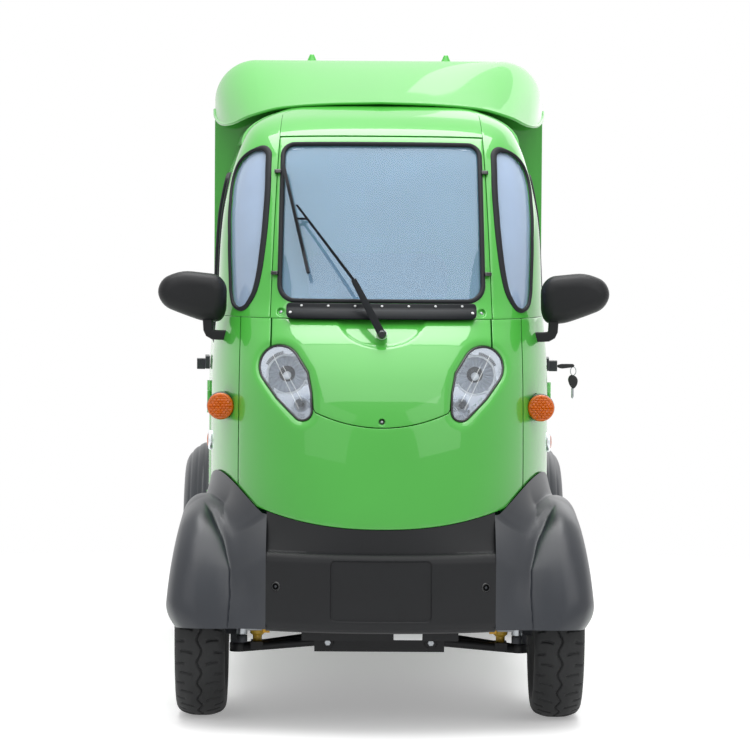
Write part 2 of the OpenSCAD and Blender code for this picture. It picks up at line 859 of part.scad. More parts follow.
module dashboard() {
  color("#26282a") {
    bar([-235, axle_f + 60, 780], [235, axle_f + 230, 900]);
    for (s = [-1, 1])
      bar([s * 200 - 15, axle_f + 60, floor_z], [s * 200 + 15, axle_f + 110, 790]);
    rod(wheel_c - 290 * column, wheel_c - 28 * column, 24);
    rod(wheel_c - 30 * column, wheel_c - 4 * column, 9);
  }
}

module steering_wheel() {
  color("#1d1e20")
    translate(wheel_c)
      rotate([-wheel_tilt, 0, 0]) {
        rotate_extrude()
          translate([165, 0])
            circle(13);
        difference() {
          translate([0, 0, -26])
            cylinder(r = 42, h = 40);
          translate([0, 0, -30])
            cylinder(r = 9 + fit, h = 28);
        }
        for (a = [90, 210, 330])
          rotate([0, 0, a])
            translate([30, -16, -8])
              cube([128, 32, 12]);
      }
}

module seat() {
  color("#2e2f31") {
    bar([-210, back_y - 470, 560], [210, back_y - 70, 680]);
    translate([0, back_y - 105, 640])
      rotate([-8, 0, 0])
        bar([-200, -90, 0], [200, 0, 560]);
    bar([-170, back_y - 440, floor_z], [170, back_y - 60, 570]);
  }
}

module battery_pack() {
  color("#4a4d52")
    bar([-300, back_y + 110, 322], [300, axle_r - 440, 518]);
}

module front_arms() {
  color("#232527")
    pair() {
      difference() {
        union() {
          along_y([135, axle_f - 78, 205], 16, 156);
          rod([135, axle_f - 64, 205], [kingpin_x - 16, axle_f - 6, 179], 12);
          rod([135, axle_f + 64, 205], [kingpin_x - 16, axle_f + 6, 179], 12);
          translate([kingpin_x, axle_f, 168])
            cylinder(r = 22, h = 22);
          translate([306, axle_f - 32, 176])
            cube([32, 64, 20]);
        }
        along_y([135, axle_f - 100, 205], 8 + fit, 200);
        translate([kingpin_x, axle_f, 160])
          cylinder(r = 9 + fit, h = 40);
      }
      difference() {
        union() {
          for (k = [-1, 1]) {
            along_y([294, axle_f + k * 75 - 18.7, 388], 12, 37.4);
            rod([294, axle_f + k * 80, 388], [kingpin_x - 10, axle_f + k * 10, 362], 8);
          }
          translate([kingpin_x, axle_f, 352])
            cylinder(r = 20, h = 20);
        }
        along_y([294, axle_f - 100, 388], 7 + fit, 200);
        translate([kingpin_x, axle_f, 340])
          cylinder(r = 9 + fit, h = 40);
      }
    }
}

module front_dampers() {
  color("#b8962e")
    pair()
      translate([321, axle_f, 196])
        rotate_extrude()
          polygon(concat(
            [[0, 0], [12, 0], [12, 14], [19, 20]],
            [for (i = [0:6]) each [[19, 24 + i * 26], [26, 37 + i * 26]]],
            [[19, 212], [12, 222], [12, 274], [0, 274]]));
}

module knuckle() {
  translate([kingpin_x, axle_f, 192])
    cylinder(r = 20, h = 158);
  translate([kingpin_x, axle_f, 168])
    cylinder(r = 9, h = 204);
  along_x([kingpin_x, axle_f, axle_z], stub_r, wheel_fx - kingpin_x + 40);
  along_x([kingpin_x - 4, axle_f, axle_z], 30, 36);
  rod([kingpin_x, axle_f, 218], [kingpin_x - 14, axle_f - steer_arm - 15, 218], 9);
  translate([kingpin_x - 14, axle_f - steer_arm - 15, 209])
    cylinder(r = 14, h = 18);
}
module knuckle_right() {
  color("#55585c")
    knuckle();
}
module knuckle_left() {
  color("#55585c")
    mirror([1, 0, 0])
      knuckle();
}

module tie_rods() {
  y = axle_f - steer_arm - 15;
  color("#7a7d80") {
    along_x([-220, y, 246], 10, 440);
    pair() {
      along_x([210, y, 246], 7, kingpin_x - 222);
      translate([kingpin_x - 14, y, 230])
        cylinder(r = 14, h = 28);
    }
  }
}

module steering_rack() {
  color("#3b3e42")
    steering_rack_tube();
}

module rear_axle() {
  color("#3b3e42") {
    along_x([-wheel_rx + 70, axle_r, axle_z], 30, rear_track - 140);
    along_x([-wheel_rx - 40, axle_r, axle_z], stub_r, rear_track + 80);
    along_x([-40, axle_r, axle_z], 96, 120);
    along_x([70, axle_r + 10, axle_z], 84, 150);
    pair()
      along_x([wheel_rx - 72, axle_r, axle_z], 90, 26);
  }
}

module leaf_springs() {
  color("#2b2d30")
    pair() {
      for (i = [0:2])
        bar([240, axle_r - spring_half - 25 + i * 110, 297 - i * 8],
            [285, axle_r + spring_half + 25 - i * 110, 305 - i * 8]);
      bar([238, axle_r - 45, axle_z + 30], [287, axle_r + 45, 282]);
    }
}

module tail_lamps() {
  color("#b3261e")
    pair()
      bar([box_w - 132, tail_y - 28, 470], [box_w - 30, tail_y - 6, 540]);
}

module tail_panel() {
  color("#2f3031")
    bar([-box_w + 14, tail_y - 52, 340], [box_w - 14, tail_y - 28, box_floor]);
}

module tyre() {
  rotate([0, 90, 0])
    rotate_extrude()
      polygon([
        [rim_r, -46], [rim_r + 12, -52], [tyre_r - 44, -tyre_w / 2], [tyre_r - 26, -tyre_w / 2],
        [tyre_r - 12, -tyre_w / 2 + 9], [tyre_r - 4, -tyre_w / 2 + 26], [tyre_r, -20], [tyre_r, 20],
        [tyre_r - 4, tyre_w / 2 - 26], [tyre_r - 12, tyre_w / 2 - 9], [tyre_r - 26, tyre_w / 2],
        [tyre_r - 44, tyre_w / 2], [rim_r + 12, 52], [rim_r, 46],
      ]);
}

module rim() {
  difference() {
    rotate([0, 90, 0])
      rotate_extrude()
        polygon([
          [stub_r + fit, -16], [36, -16], [36, 0], [118, 14], [rim_r - 18, -2],
          [rim_r - 12, -46], [rim_r, -46], [rim_r, 46], [rim_r - 10, 46], [rim_r - 12, 12],
          [118, 26], [36, 14], [36, 32], [stub_r + fit, 32],
        ]);
    for (i = [0:4])
      rotate([i * 72, 0, 0])
        translate([-60, 0, 84])
          rotate([0, 90, 0])
            cylinder(r = 24, h = 120);
  }
}

wheel_at = [
  [wheel_fx, axle_f], [-wheel_fx, axle_f], [wheel_rx, axle_r], [-wheel_rx, axle_r],
];
module at_wheel(i) {
  translate([wheel_at[i][0], wheel_at[i][1], axle_z])
    mirror([i % 2, 0, 0])
      children();
}

module tyre_front_right() {
  color("#1a1a1b")
    at_wheel(0)
      tyre();
}

module tyre_front_left() {
  color("#1a1a1b")
    at_wheel(1)
      tyre();
}

module tyre_rear_right() {
  color("#1a1a1b")
    at_wheel(2)
      tyre();
}

module tyre_rear_left() {
  color("#1a1a1b")
    at_wheel(3)
      tyre();
}

module rim_front_right() {
  color("#9da1a5")
    at_wheel(0)
      rim();
}

module rim_front_left() {
  color("#9da1a5")
    at_wheel(1)
      rim();
}

module rim_rear_right() {
  color("#9da1a5")
    at_wheel(2)
      rim();
}

module rim_rear_left() {
  color("#9da1a5")
    at_wheel(3)
      rim();
}

chassis_frame();
cab_floor();
nose_panel();
bonnet_cover();
windscreen_frame();
corner_panels();
lower_corners();
door_hinges();
cab_roof();
windscreen();
quarter_glass();
cowl_vent();
wiper();
headlamp_lenses();
headlamp_bowls();
indicators();
front_bumper();
front_mudguards();
rear_mudguards();
mirrors();
mirror_glass();
box_front();
box_bed();
box_sides();
box_roof();
box_fairing();
rear_door_right();
rear_door_left();
side_skirts();
tail_panel();
tail_lamps();
door_right();
door_left();
door_glass_right();
door_glass_left();
door_handles_right();
door_handles_left();
dashboard();
steering_wheel();
seat();
battery_pack();
front_arms();
front_dampers();
knuckle_right();
knuckle_left();
tie_rods();
steering_rack();
rear_axle();
leaf_springs();
tyre_front_right();
tyre_front_left();
tyre_rear_right();
tyre_rear_left();
rim_front_right();
rim_front_left();
rim_rear_right();
rim_rear_left();
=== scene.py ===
import json
import math

import bmesh
import bpy
import numpy as np
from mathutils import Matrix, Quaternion, Vector
from mathutils.geometry import delaunay_2d_cdt


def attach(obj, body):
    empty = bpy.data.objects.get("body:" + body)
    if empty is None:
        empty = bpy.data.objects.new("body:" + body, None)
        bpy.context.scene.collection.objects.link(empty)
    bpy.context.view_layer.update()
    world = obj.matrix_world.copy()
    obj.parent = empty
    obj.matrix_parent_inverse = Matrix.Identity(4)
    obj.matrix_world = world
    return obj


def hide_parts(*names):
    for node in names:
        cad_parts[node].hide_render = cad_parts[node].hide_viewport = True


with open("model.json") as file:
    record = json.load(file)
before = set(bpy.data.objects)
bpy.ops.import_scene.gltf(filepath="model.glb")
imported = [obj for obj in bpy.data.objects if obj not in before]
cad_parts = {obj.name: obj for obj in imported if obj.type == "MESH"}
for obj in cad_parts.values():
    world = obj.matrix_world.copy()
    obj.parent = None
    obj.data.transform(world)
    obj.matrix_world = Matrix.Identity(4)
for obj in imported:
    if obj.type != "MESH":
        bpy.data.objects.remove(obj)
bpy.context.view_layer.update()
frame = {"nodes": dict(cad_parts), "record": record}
MM = 0.001

# Sizes shared with the solids, in millimetres
NOSE, TAIL, DOOR_Y, BACK = -1445.0, 1445.0, -640.0, -26.0
AXF, AXR, AXZ = -1015.0, 980.0, 243.0
CAB_W, BOX_W, BOX_TOP, BOX_R = 455.0, 472.0, 1757.0, 120.0
SEAM, BELT, BUMPER_X, ARCH_R, WALL = 370.0, 1050.0, 293.0, 400.0, 20.0
GUARD_R, GUARD_LIP, REAR_GUARD_W = 342.0, 262.0, 118.0
WHEEL_FX, WHEEL_RX = 466.0, 512.0
WHEELS = (("front_right", WHEEL_FX, AXF, 1), ("front_left", -WHEEL_FX, AXF, -1),
          ("rear_right", WHEEL_RX, AXR, 1), ("rear_left", -WHEEL_RX, AXR, -1))
YAW = math.radians(2.815)
AHEAD, ASTERN = (0, -1, 0), (0, 1, 0)

# Cab ribs: height, middle's y from the nose, half width from the cab's, side's height, side's y from
# the door, roundness
RIBS = np.array([
    [280, 73, 0, 280, 0, 2.4],
    [525, 43, 1, 525, 0, 2.4],
    [660, 41, 1, 660, 0, 2.4],
    [785, 67, 1, 785, 0, 2.4],
    [900, 133, 0, 900, 0, 2.45],
    [985, 219, -6, 985, 0, 2.5],
    [1050, 310, -12, 1050, 0, 2.6],
    [1100, 363, -15, 1100, 0, 2.7],
    [1300, 500, -26, 1300, 10, 3.0],
    [1450, 603, -54, 1440, 40, 3.0],
    [1530, 680, -79, 1515, 80, 2.8],
    [1580, 780, -110, 1562, 120, 2.6],
    [1612, 905, -180, 1600, 170, 2.5],
    [1632, 1005, -255, 1620, 200, 2.4],
]) + [0, NOSE, CAB_W, 0, DOOR_Y, 0]
# Height and half width of the windscreen frame's seam, height and lean of the door
SCREEN_SEAM = np.array([[1050, 291], [1300, 283], [1530, 273], [1632, 265]], float)
DOOR_LINE = np.array([[340, 0], [700, 0], [900, -2], [1000, -11], [1100, -15], [1300, -26],
                      [1375, -38], [1440, -54], [1500, -78]], float)
# Points of the fairing's front rim, from the side to the middle
RIM = np.array([[0, -30, 1612], [-6, -110, 1588], [-28, -230, 1569], [-62, -330, 1570], [-112, -400, 1590],
                [-200, -452, 1612], [-320, -488, 1622], [-BOX_W, -500, 1626]]) + [BOX_W, BACK, 0]


def points(*coords):
    """Points from their coordinates."""
    return np.stack(np.broadcast_arrays(*coords), -1)


def blend(t, c, h):
    """Smooth value of a table's column at a height."""
    h = np.asarray(h, float)
    k, v = t[:, 0], t[:, c]
    n = len(k)
    a, b = np.maximum(np.arange(n) - 1, 0), np.minimum(np.arange(n) + 1, n - 1)
    sl = (v[b] - v[a]) / (k[b] - k[a])
    i = np.clip(np.searchsorted(k, h, side="right") - 1, 0, n - 2)
    d = k[i + 1] - k[i]
    u = (h - k[i]) / d
    w = 1 - u
    return (v[i] * w * w * (1 + 2 * u) + v[i + 1] * u * u * (3 - 2 * u)
            + d * u * w * (sl[i] * w - sl[i + 1] * u))


def cab(x, h, d=0.0):
    """Point of the cab's skin at depth d."""
    lift = np.clip((h - 1420) / 200, 0, 1)
    n = blend(RIBS, 5, h)
    zs = blend(RIBS, 3, h) - d * lift * 0.7
    zc = h - d * lift
    ys = blend(RIBS, 4, h)
    yc = blend(RIBS, 1, h) + d * (1.25 - 0.75 * lift)
    q = np.minimum(np.abs(x) / (blend(RIBS, 2, h) - d), 1)
    c = (1 - q ** n) ** (1 / n)
    return points(x, ys + (yc - ys) * c, zs + (zc - zs) * c)


# Maps from a flat outline and a depth below the skin to a point
def front_map(p, d):
    return cab(p[:, 0], p[:, 1], d)


def front_plane(y):
    return lambda p, d: points(p[:, 0], y + d, p[:, 1])


def rear_plane(y):
    return lambda p, d: points(p[:, 0], y - d, p[:, 1])


def flat_top(z):
    return lambda p, d: points(p[:, 0], p[:, 1], z - d)


def seam_at(h):
    return np.minimum(blend(SCREEN_SEAM, 1, h), 0.86 * blend(RIBS, 2, h))


def side_map(start, length, s):
    """Map from distance round the corner and height to the skin on side s."""
    def to3d(p, d):
        h = p[:, 1]
        n, w = blend(RIBS, 5, h), blend(RIBS, 2, h) - d
        a0 = np.arcsin((start(h) / w) ** (n / 2))
        u = np.clip(p[:, 0] / length, 0, 1)
        x = w * np.sin(a0 + (math.pi / 2 - a0) * u) ** (2 / n)
        out = cab(np.minimum(x, w * (1 - 1e-9)), h, d)
        out[:, 0] *= s
        return out
    return to3d


def round_corner(start, length, x, h):
    """Distance round the corner of a given x on the skin."""
    n, w = blend(RIBS, 5, h), blend(RIBS, 2, h)
    a0 = np.arcsin((start(h) / w) ** (n / 2))
    return length * (np.arcsin(np.minimum(x / w, 1) ** (n / 2)) - a0) / (math.pi / 2 - a0)


def door_map(s):
    def to3d(p, d):
        off = blend(DOOR_LINE, 1, p[:, 1]) - d
        x = CAB_W + off * math.cos(YAW) + p[:, 0] * math.sin(YAW)
        y = DOOR_Y - off * math.sin(YAW) + p[:, 0] * math.cos(YAW)
        return points(s * x, y, p[:, 1])
    return to3d


def smile(x):
    """Height of the edge between nose and bumper."""
    return 525 + 37 * (np.abs(x) / BUMPER_X) ** 2.2


def arc(c, r, a0, a1, m):
    a = np.radians(np.linspace(a0, a1, m))
    return points(c[0] + r * np.cos(a), c[1] + r * np.sin(a))


def flip(loop):
    """Mirror image of a loop in x."""
    return np.asarray(loop, float)[::-1] * [-1, 1]


def smooth01(t):
    t = np.clip(t, 0, 1)
    return t * t * (3 - 2 * t)


# Materials, all made from nodes
def tint(c, f):
    return tuple(min(1.0, v * f) for v in c) + (1.0,)


def srgb(*levels):
    c = [v / 255 for v in levels]
    return tuple(v / 12.92 if v <= 0.04045 else ((v + 0.055) / 1.055) ** 2.4 for v in c)


def preset(node, **values):
    """Set a node's inputs, named with _ for a space."""
    for k, v in values.items():
        node.inputs[k.replace("_", " ")].default_value = v
    return node


def add(tree, kind, **values):
    return preset(tree.nodes.new("ShaderNode" + kind), **values)


def material(name, levels, rough, metal=0.0, coat=0.0, var=0.06, scale=6.0, bump=0.0, grain=300.0,
             rough_var=0.05, trans=0.0, ior=1.5, grain_kind="Noise", spec=0.5):
    """Shader with uneven colour and gloss, grain, and a clear shadow where it is glass."""
    m = bpy.data.materials.new(name)
    m.use_nodes = True
    nt, color = m.node_tree, srgb(*levels)
    link = nt.links.new
    b = preset(nt.nodes["Principled BSDF"], Metallic=metal, Coat_Weight=coat, Coat_Roughness=0.03,
               Transmission_Weight=trans, IOR=ior, Specular_IOR_Level=spec)
    place = add(nt, "TexCoord").outputs["Object"]
    patches = add(nt, "TexNoise", Scale=scale, Detail=6)
    link(place, patches.inputs["Vector"])
    ramp = add(nt, "ValToRGB")
    for stop, at, f in zip(ramp.color_ramp.elements, (0.3, 0.7), (1 - var, 1 + var)):
        stop.position, stop.color = at, tint(color, f)
    link(patches.outputs["Fac"], ramp.inputs["Fac"])
    link(ramp.outputs["Color"], b.inputs["Base Color"])
    gloss = add(nt, "MapRange", To_Min=max(0.0, rough - rough_var), To_Max=min(1.0, rough + rough_var))
    link(patches.outputs["Fac"], gloss.inputs["Value"])
    link(gloss.outputs["Result"], b.inputs["Roughness"])
    if bump > 0:
        fine = add(nt, "Tex" + grain_kind, Scale=grain)
        link(place, fine.inputs["Vector"])
        raised = add(nt, "Bump", Strength=bump, Distance=0.001)
        link(fine.outputs[0], raised.inputs["Height"])
        link(raised.outputs["Normal"], b.inputs["Normal"])
    if trans > 0:
        clear = add(nt, "BsdfTransparent", Color=tint(color, 1.0))
        either = add(nt, "MixShader")
        link(add(nt, "LightPath").outputs["Is Shadow Ray"], either.inputs[0])
        link(b.outputs["BSDF"], either.inputs[1])
        link(clear.outputs["BSDF"], either.inputs[2])
        link(either.outputs["Shader"], nt.nodes["Material Output"].inputs["Surface"])
    return m


MAT = {
    "paint": material("paint_green", (72, 174, 62), 0.32, coat=0.8, var=0.03, scale=3, bump=0.03,
                      grain=90, spec=0.2),
    "bed": material("bed_metal", (168, 172, 174), 0.42, metal=0.9, var=0.12, scale=14, bump=0.15,
                    grain=160),
    "frame": material("frame_black", (24, 25, 27), 0.5, var=0.2, scale=18, bump=0.2, grain=220,
                      spec=0.3),
    "charcoal": material("bumper_plastic", (25, 26, 28), 0.46, var=0.08, scale=10, bump=0.16,
                         grain=900, spec=0.25),
    "slate": material("mudguard_plastic", (35, 39, 46), 0.34, var=0.08, scale=9, bump=0.12,
                      grain=800, spec=0.55),
    # Glass colour: its own blue tint, plus a painted sky reflection in the pale blue-grey veil it shows
    "glass": material("glass_tint_painted_sky", (158, 192, 216), 0.02, var=0.03, rough_var=0.005, trans=0.68),
    # Quarter glass: its own tint, lightened further as a painted sky reflection
    "side_glass": material("side_glass", (196, 214, 236), 0.02, var=0.03, rough_var=0.005, trans=0.5,
                           ior=1.55),
    "lens": material("clear_lens", (244, 247, 250), 0.03, var=0.01, rough_var=0.01, trans=0.97,
                     ior=1.3),
    "reflector": material("lamp_chrome", (236, 240, 246), 0.2, metal=0.7, var=0.04, scale=20),
    "dish": material("lamp_dish", (204, 209, 215), 0.2, metal=0.4, var=0.08, scale=60, rough_var=0.06),
    "amber": material("amber_lens", (206, 96, 4), 0.12, coat=0.3, var=0.12, scale=30, rough_var=0.04,
                      spec=0.3),
    "red": material("red_lens", (160, 22, 18), 0.14, coat=0.5, var=0.1, scale=30, rough_var=0.04),
    "mirror": material("mirror_silver", (220, 226, 230), 0.03, metal=1.0, var=0.02, rough_var=0.01),
    "black_gloss": material("gloss_black", (15, 16, 18), 0.26, coat=0.2, var=0.15, scale=12, bump=0.05,
                            grain=120, spec=0.4),
    "seat_skin": material("seat_vinyl", (40, 41, 44), 0.5, var=0.14, scale=12, bump=0.35, grain=420,
                          grain_kind="Voronoi"),
    "spring": material("spring_yellow", (196, 158, 50), 0.4, var=0.15, scale=20, bump=0.1),
    "steel": material("plain_steel", (160, 164, 168), 0.34, metal=0.95, var=0.1, scale=24, bump=0.08,
                      grain=260),
    "cast": material("cast_iron", (58, 60, 64), 0.6, metal=0.6, var=0.2, scale=20, bump=0.4, grain=260),
    "alloy": material("rim_alloy", (172, 176, 180), 0.34, metal=0.9, scale=16, bump=0.06),
    "tyre": material("tyre_rubber", (30, 31, 32), 0.66, var=0.16, scale=14, bump=0.2, grain=500,
                     spec=0.35),
    "rubber": material("seal_rubber", (27, 29, 33), 0.56, var=0.1, scale=22, bump=0.15, grain=500,
                       spec=0.2),
    "cowl": material("cowl_black", (22, 25, 28), 0.4, var=0.12, scale=16, bump=0.06, spec=0.07),
    # Near-black and barely glossy: painted shade for the inside of holes
    "void": material("painted_hole_shade", (7, 7, 8), 0.7, var=0.1, scale=20, spec=0.05),
    # White parts; the same white on the cowl rivets is a painted highlight
    "white": material("white_plastic_and_painted_glint", (226, 228, 228), 0.4, var=0.03, scale=12, bump=0.04, grain=400),
    "brass": material("plated_brass", (196, 152, 66), 0.3, metal=1.0, var=0.12, scale=40, bump=0.05),
}


# Building helpers
def piece(name, verts, faces, mat, body="chassis", nodes=(), angle=50):
    """Smooth mesh that rides on a body, with edges sharper than the angle kept sharp."""
    me = bpy.data.meshes.new(name)
    me.from_pydata((np.asarray(verts) * MM).tolist(), [], [tuple(map(int, f)) for f in faces])
    me.validate()
    bm = bmesh.new()
    bm.from_mesh(me)
    bmesh.ops.recalc_face_normals(bm, faces=bm.faces)
    bm.to_mesh(me)
    bm.free()
    me.update()
    me.materials.append(MAT[mat])
    me.polygons.foreach_set("use_smooth", [True] * len(me.polygons))
    ob = bpy.data.objects.new(name, me)
    bpy.context.scene.collection.objects.link(ob)
    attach(ob, body)
    if nodes:
        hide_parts(*nodes)
    me.set_sharp_from_angle(angle=math.radians(angle))


def resample(loop, step):
    """Closed loop with points no further apart than the step."""
    loop = np.asarray(loop, float)
    out = []
    for a, b in zip(loop, np.roll(loop, -1, 0)):
        m = max(1, int(math.ceil(np.linalg.norm(b - a) / step)))
        out.append(a + (b - a) * np.linspace(0, 1, m, endpoint=False)[:, None])
    return np.concatenate(out)


def area(loop):
    x, y = loop[:, 0], loop[:, 1]
    return 0.5 * np.sum(x * np.roll(y, -1) - np.roll(x, -1) * y)


def offset(loop, d):
    """Loop moved inward by d, outward where d is negative."""
    loop = np.asarray(loop, float)
    e = np.roll(loop, -1, 0) - loop
    e /= np.linalg.norm(e, axis=1)[:, None] + 1e-12
    nin = points(-e[:, 1], e[:, 0]) * np.sign(area(loop))
    m = nin + np.roll(nin, 1, 0)
    m /= np.maximum(np.sum(m * nin, 1), 0.35 * np.linalg.norm(m, axis=1) + 1e-9)[:, None]
    return loop + m * d


def rounded_loop(pts, r, m=6):
    """Polygon with its corners rounded; r is one radius or one for each corner."""
    pts = np.asarray(pts, float)
    rs = np.full(len(pts), r, float) if np.isscalar(r) else np.asarray(r, float)
    out = []
    for i, p in enumerate(pts):
        a, b = pts[i - 1] - p, pts[(i + 1) % len(pts)] - p
        la, lb = np.linalg.norm(a), np.linalg.norm(b)
        t = min(rs[i], 0.49 * la, 0.49 * lb)
        p0, p1 = p + a / la * t, p + b / lb * t
        for u in np.linspace(0, 1, m):
            out.append((1 - u) ** 2 * p0 + 2 * u * (1 - u) * p + u * u * p1)
    return np.array(out)


def box_loop(x0, x1, y0, y1, r, m=6):
    return rounded_loop([[x0, y0], [x1, y0], [x1, y1], [x0, y1]], r, m)


def inside(p, loop):
    x, y = p[:, 0], p[:, 1]
    r = np.zeros(len(p), bool)
    for (x0, y0), (x1, y1) in zip(loop, np.roll(loop, -1, 0)):
        hit = (y0 > y) != (y1 > y)
        if hit.any():
            r ^= hit & (x < (x1 - x0) * (y - y0) / (y1 - y0 + 1e-30) + x0)
    return r


def within(p, loops):
    """Which points lie inside the first loop and outside the others."""
    ok = inside(p, loops[0])
    for hole in loops[1:]:
        ok &= ~inside(p, hole)
    return ok


def edge_dist(p, loop):
    best = np.full(len(p), 1e9)
    for q0, q1 in zip(loop, np.roll(loop, -1, 0)):
        e = q1 - q0
        t = np.clip(((p - q0) @ e) / (e @ e + 1e-12), 0, 1)
        best = np.minimum(best, np.sum((q0 + t[:, None] * e - p) ** 2, 1))
    return np.sqrt(best)


def nearest_edge(p, loops):
    return np.min([edge_dist(p, lp) for lp in loops], 0)


def unit(v):
    return v / (np.linalg.norm(v, axis=-1, keepdims=True) + 1e-12)


def surface_normal(to3d, p):
    e = 0.05
    du = to3d(p + [e, 0], 0.0) - to3d(p - [e, 0], 0.0)
    dv = to3d(p + [0, e], 0.0) - to3d(p - [0, e], 0.0)
    return unit(np.cross(du, dv))


def panel(name, to3d, outline, holes=(), mat="paint", body="chassis", nodes=(), gap=0.0, roll=0.0,
          thick=WALL, step=10.0, d0=0.0, hole_roll=None, dish=None, extra=None):
    """Moulded panel with rolled edges over a curved surface, closed at the back."""
    loops = [resample(offset(outline, gap), step * 0.6)]
    loops += [resample(h, step * 0.6) for h in holes]
    rolls = [roll] + [hole_roll or roll] * len(holes)
    pts, edges = [], []
    for lp in loops:
        k = len(pts)
        pts += lp.tolist()
        edges += [(k + i, k + (i + 1) % len(lp)) for i in range(len(lp))]
    lo, hi = loops[0].min(0), loops[0].max(0)
    gx, gy = np.meshgrid(np.arange(lo[0], hi[0], step), np.arange(lo[1], hi[1], step * 0.87))
    gx = gx + (np.arange(gx.shape[0]) % 2)[:, None] * step / 2
    rows = [(points(gx.ravel(), gy.ravel()), max(step * 0.55, max(rolls) + 1))]
    for i, lp in enumerate(loops):
        if rolls[i] > 0.5:
            for f in (0.15, 0.45, 1.0):
                rows.append((offset(lp, rolls[i] * f * (1 if i == 0 else -1)), rolls[i] * f * 0.93))
    kept = []
    for cand, clear in rows:
        cand = cand[within(cand, loops)]
        if len(cand):
            cand = cand[nearest_edge(cand, loops) > clear]
        kept.append(cand)
    if extra is not None:
        extra = extra[inside(extra, loops[0])]
        extra = extra[nearest_edge(extra, loops) > 2.2]
        near = np.min(np.linalg.norm(kept[0][:, None] - extra[None], axis=2), 1)
        kept[0] = kept[0][near > step * 0.35]
        kept.append(extra)
    pts += np.concatenate(kept).tolist()
    vs, _, fs, *_ = delaunay_2d_cdt([Vector(p) for p in pts], edges, [], 0, 1e-4)
    p = np.array([v[:] for v in vs])
    f = np.array([t for t in fs if len(t) == 3])
    f = f[within(p[f].mean(1), loops)]
    a, b, c = p[f[:, 0]], p[f[:, 1]], p[f[:, 2]]
    turned_over = np.cross(b - a, c - a) < 0
    f[turned_over] = f[turned_over][:, ::-1]
    depth = np.zeros(len(p)) + d0
    for r, lp in zip(rolls, loops):
        if r > 0.5:
            k = np.clip(edge_dist(p, lp), 0, r)
            depth = np.maximum(depth, d0 + r - np.sqrt(np.maximum(r * r - (r - k) ** 2, 0)))
    if dish is not None:
        depth = depth + dish(p)
    top, low = to3d(p, depth), to3d(p, d0 + thick)
    n = len(p)
    sides = dict.fromkeys(map(tuple, np.concatenate([f[:, [0, 1]], f[:, [1, 2]], f[:, [2, 0]]]).tolist()))
    rim = [(s, t) for s, t in sides if (t, s) not in sides]
    faces = f.tolist() + (f[:, ::-1] + n).tolist() + [(t, s, s + n, t + n) for s, t in rim]
    piece(name, np.concatenate([top, low]), faces, mat, body, nodes, 60)


def grid(name, g, mat, body="chassis", nodes=(), back=None, wrap=False, angle=50, ring=False,
         cap=False):
    """Surface through a grid of points, closed by a second grid behind it, as a ring or by caps."""
    g = np.asarray(g, float)
    m, n = g.shape[:2]
    idx = np.arange(m * n).reshape(m, n)
    cols = n if wrap else n - 1
    faces = []
    for j in range(cols):
        k = (j + 1) % n
        faces += points(idx[:-1, j], idx[:-1, k], idx[1:, k], idx[1:, j]).tolist()
    if ring:
        faces += [(idx[-1, j], idx[-1, (j + 1) % n], idx[0, (j + 1) % n], idx[0, j]) for j in range(n)]
    if cap:
        faces += [tuple(idx[0]), tuple(idx[-1, ::-1])]
    verts = g.reshape(-1, 3)
    if back is not None:
        o = m * n
        faces += [[o + q for q in fc[::-1]] for fc in faces]
        verts = np.concatenate([verts, np.asarray(back, float).reshape(-1, 3)])
        edge = []
        if not wrap:
            edge += [(idx[i + 1, 0], idx[i, 0]) for i in range(m - 1)]
            edge += [(idx[i, -1], idx[i + 1, -1]) for i in range(m - 1)]
        edge += [(idx[0, j], idx[0, (j + 1) % n]) for j in range(cols)]
        edge += [(idx[-1, (j + 1) % n], idx[-1, j]) for j in range(cols)]
        faces += [(t, s, s + o, t + o) for s, t in edge]
    piece(name, verts, faces, mat, body, nodes, angle)


def sweep(name, path, normals, prof, mat, body="chassis", closed=True, scale=None):
    """Profile (across, outward) swept along a path that lies on a surface."""
    path = np.asarray(path, float)
    nr = unit(np.broadcast_to(np.asarray(normals, float), path.shape))
    m, prof = len(path), np.asarray(prof, float)
    if closed:
        t = unit(np.roll(path, -1, 0) - np.roll(path, 1, 0))
    else:
        t = unit(np.gradient(path, axis=0))
    b = unit(np.cross(t, nr))
    nr = np.cross(b, t)
    sc = np.ones(m) if scale is None else np.asarray(scale, float)
    across = b[:, None] * (prof[None, :, :1] * sc[:, None, None])
    g = path[:, None] + across + nr[:, None] * prof[None, :, 1:]
    grid(name, g, mat, body, wrap=True, ring=closed, cap=not closed)


def bead(w, h):
    """Half round section of a seal, sunk a little into the skin."""
    a, low = np.linspace(0, math.pi, 7), -2.0
    bow = points(-w / 2 * np.cos(a), h * np.sin(a))
    return np.concatenate([bow, [[w / 2, low], [-w / 2, low]]])[::-1]


def circle(r, m=10):
    a = np.linspace(0, 2 * math.pi, m, endpoint=False)
    return points(r * np.cos(a), r * np.sin(a))[::-1]


def turned(name, prof, at, axis, mat, body="chassis", m=48, nodes=(), angle=40, shape=None):
    """Turned piece: radius and distance along an axis."""
    ax = unit(np.asarray(axis, float))
    ref = np.array([0, 0, 1.0]) if abs(ax[2]) < 0.9 else np.array([1.0, 0, 0])
    e1 = unit(np.cross(ax, ref))
    e2 = np.cross(ax, e1)
    a = np.linspace(0, 2 * math.pi, m, endpoint=False)
    spokes = np.cos(a)[:, None] * e1 + np.sin(a)[:, None] * e2
    g = np.array([np.asarray(at, float) + ax * q + spokes * r for r, q in prof])
    if shape is not None:
        g = shape(g)
    grid(name, g, mat, body, nodes, wrap=True, angle=angle, cap=True)


def both(make):
    for s, side in ((1, "right"), (-1, "left")):
        make(s, side)


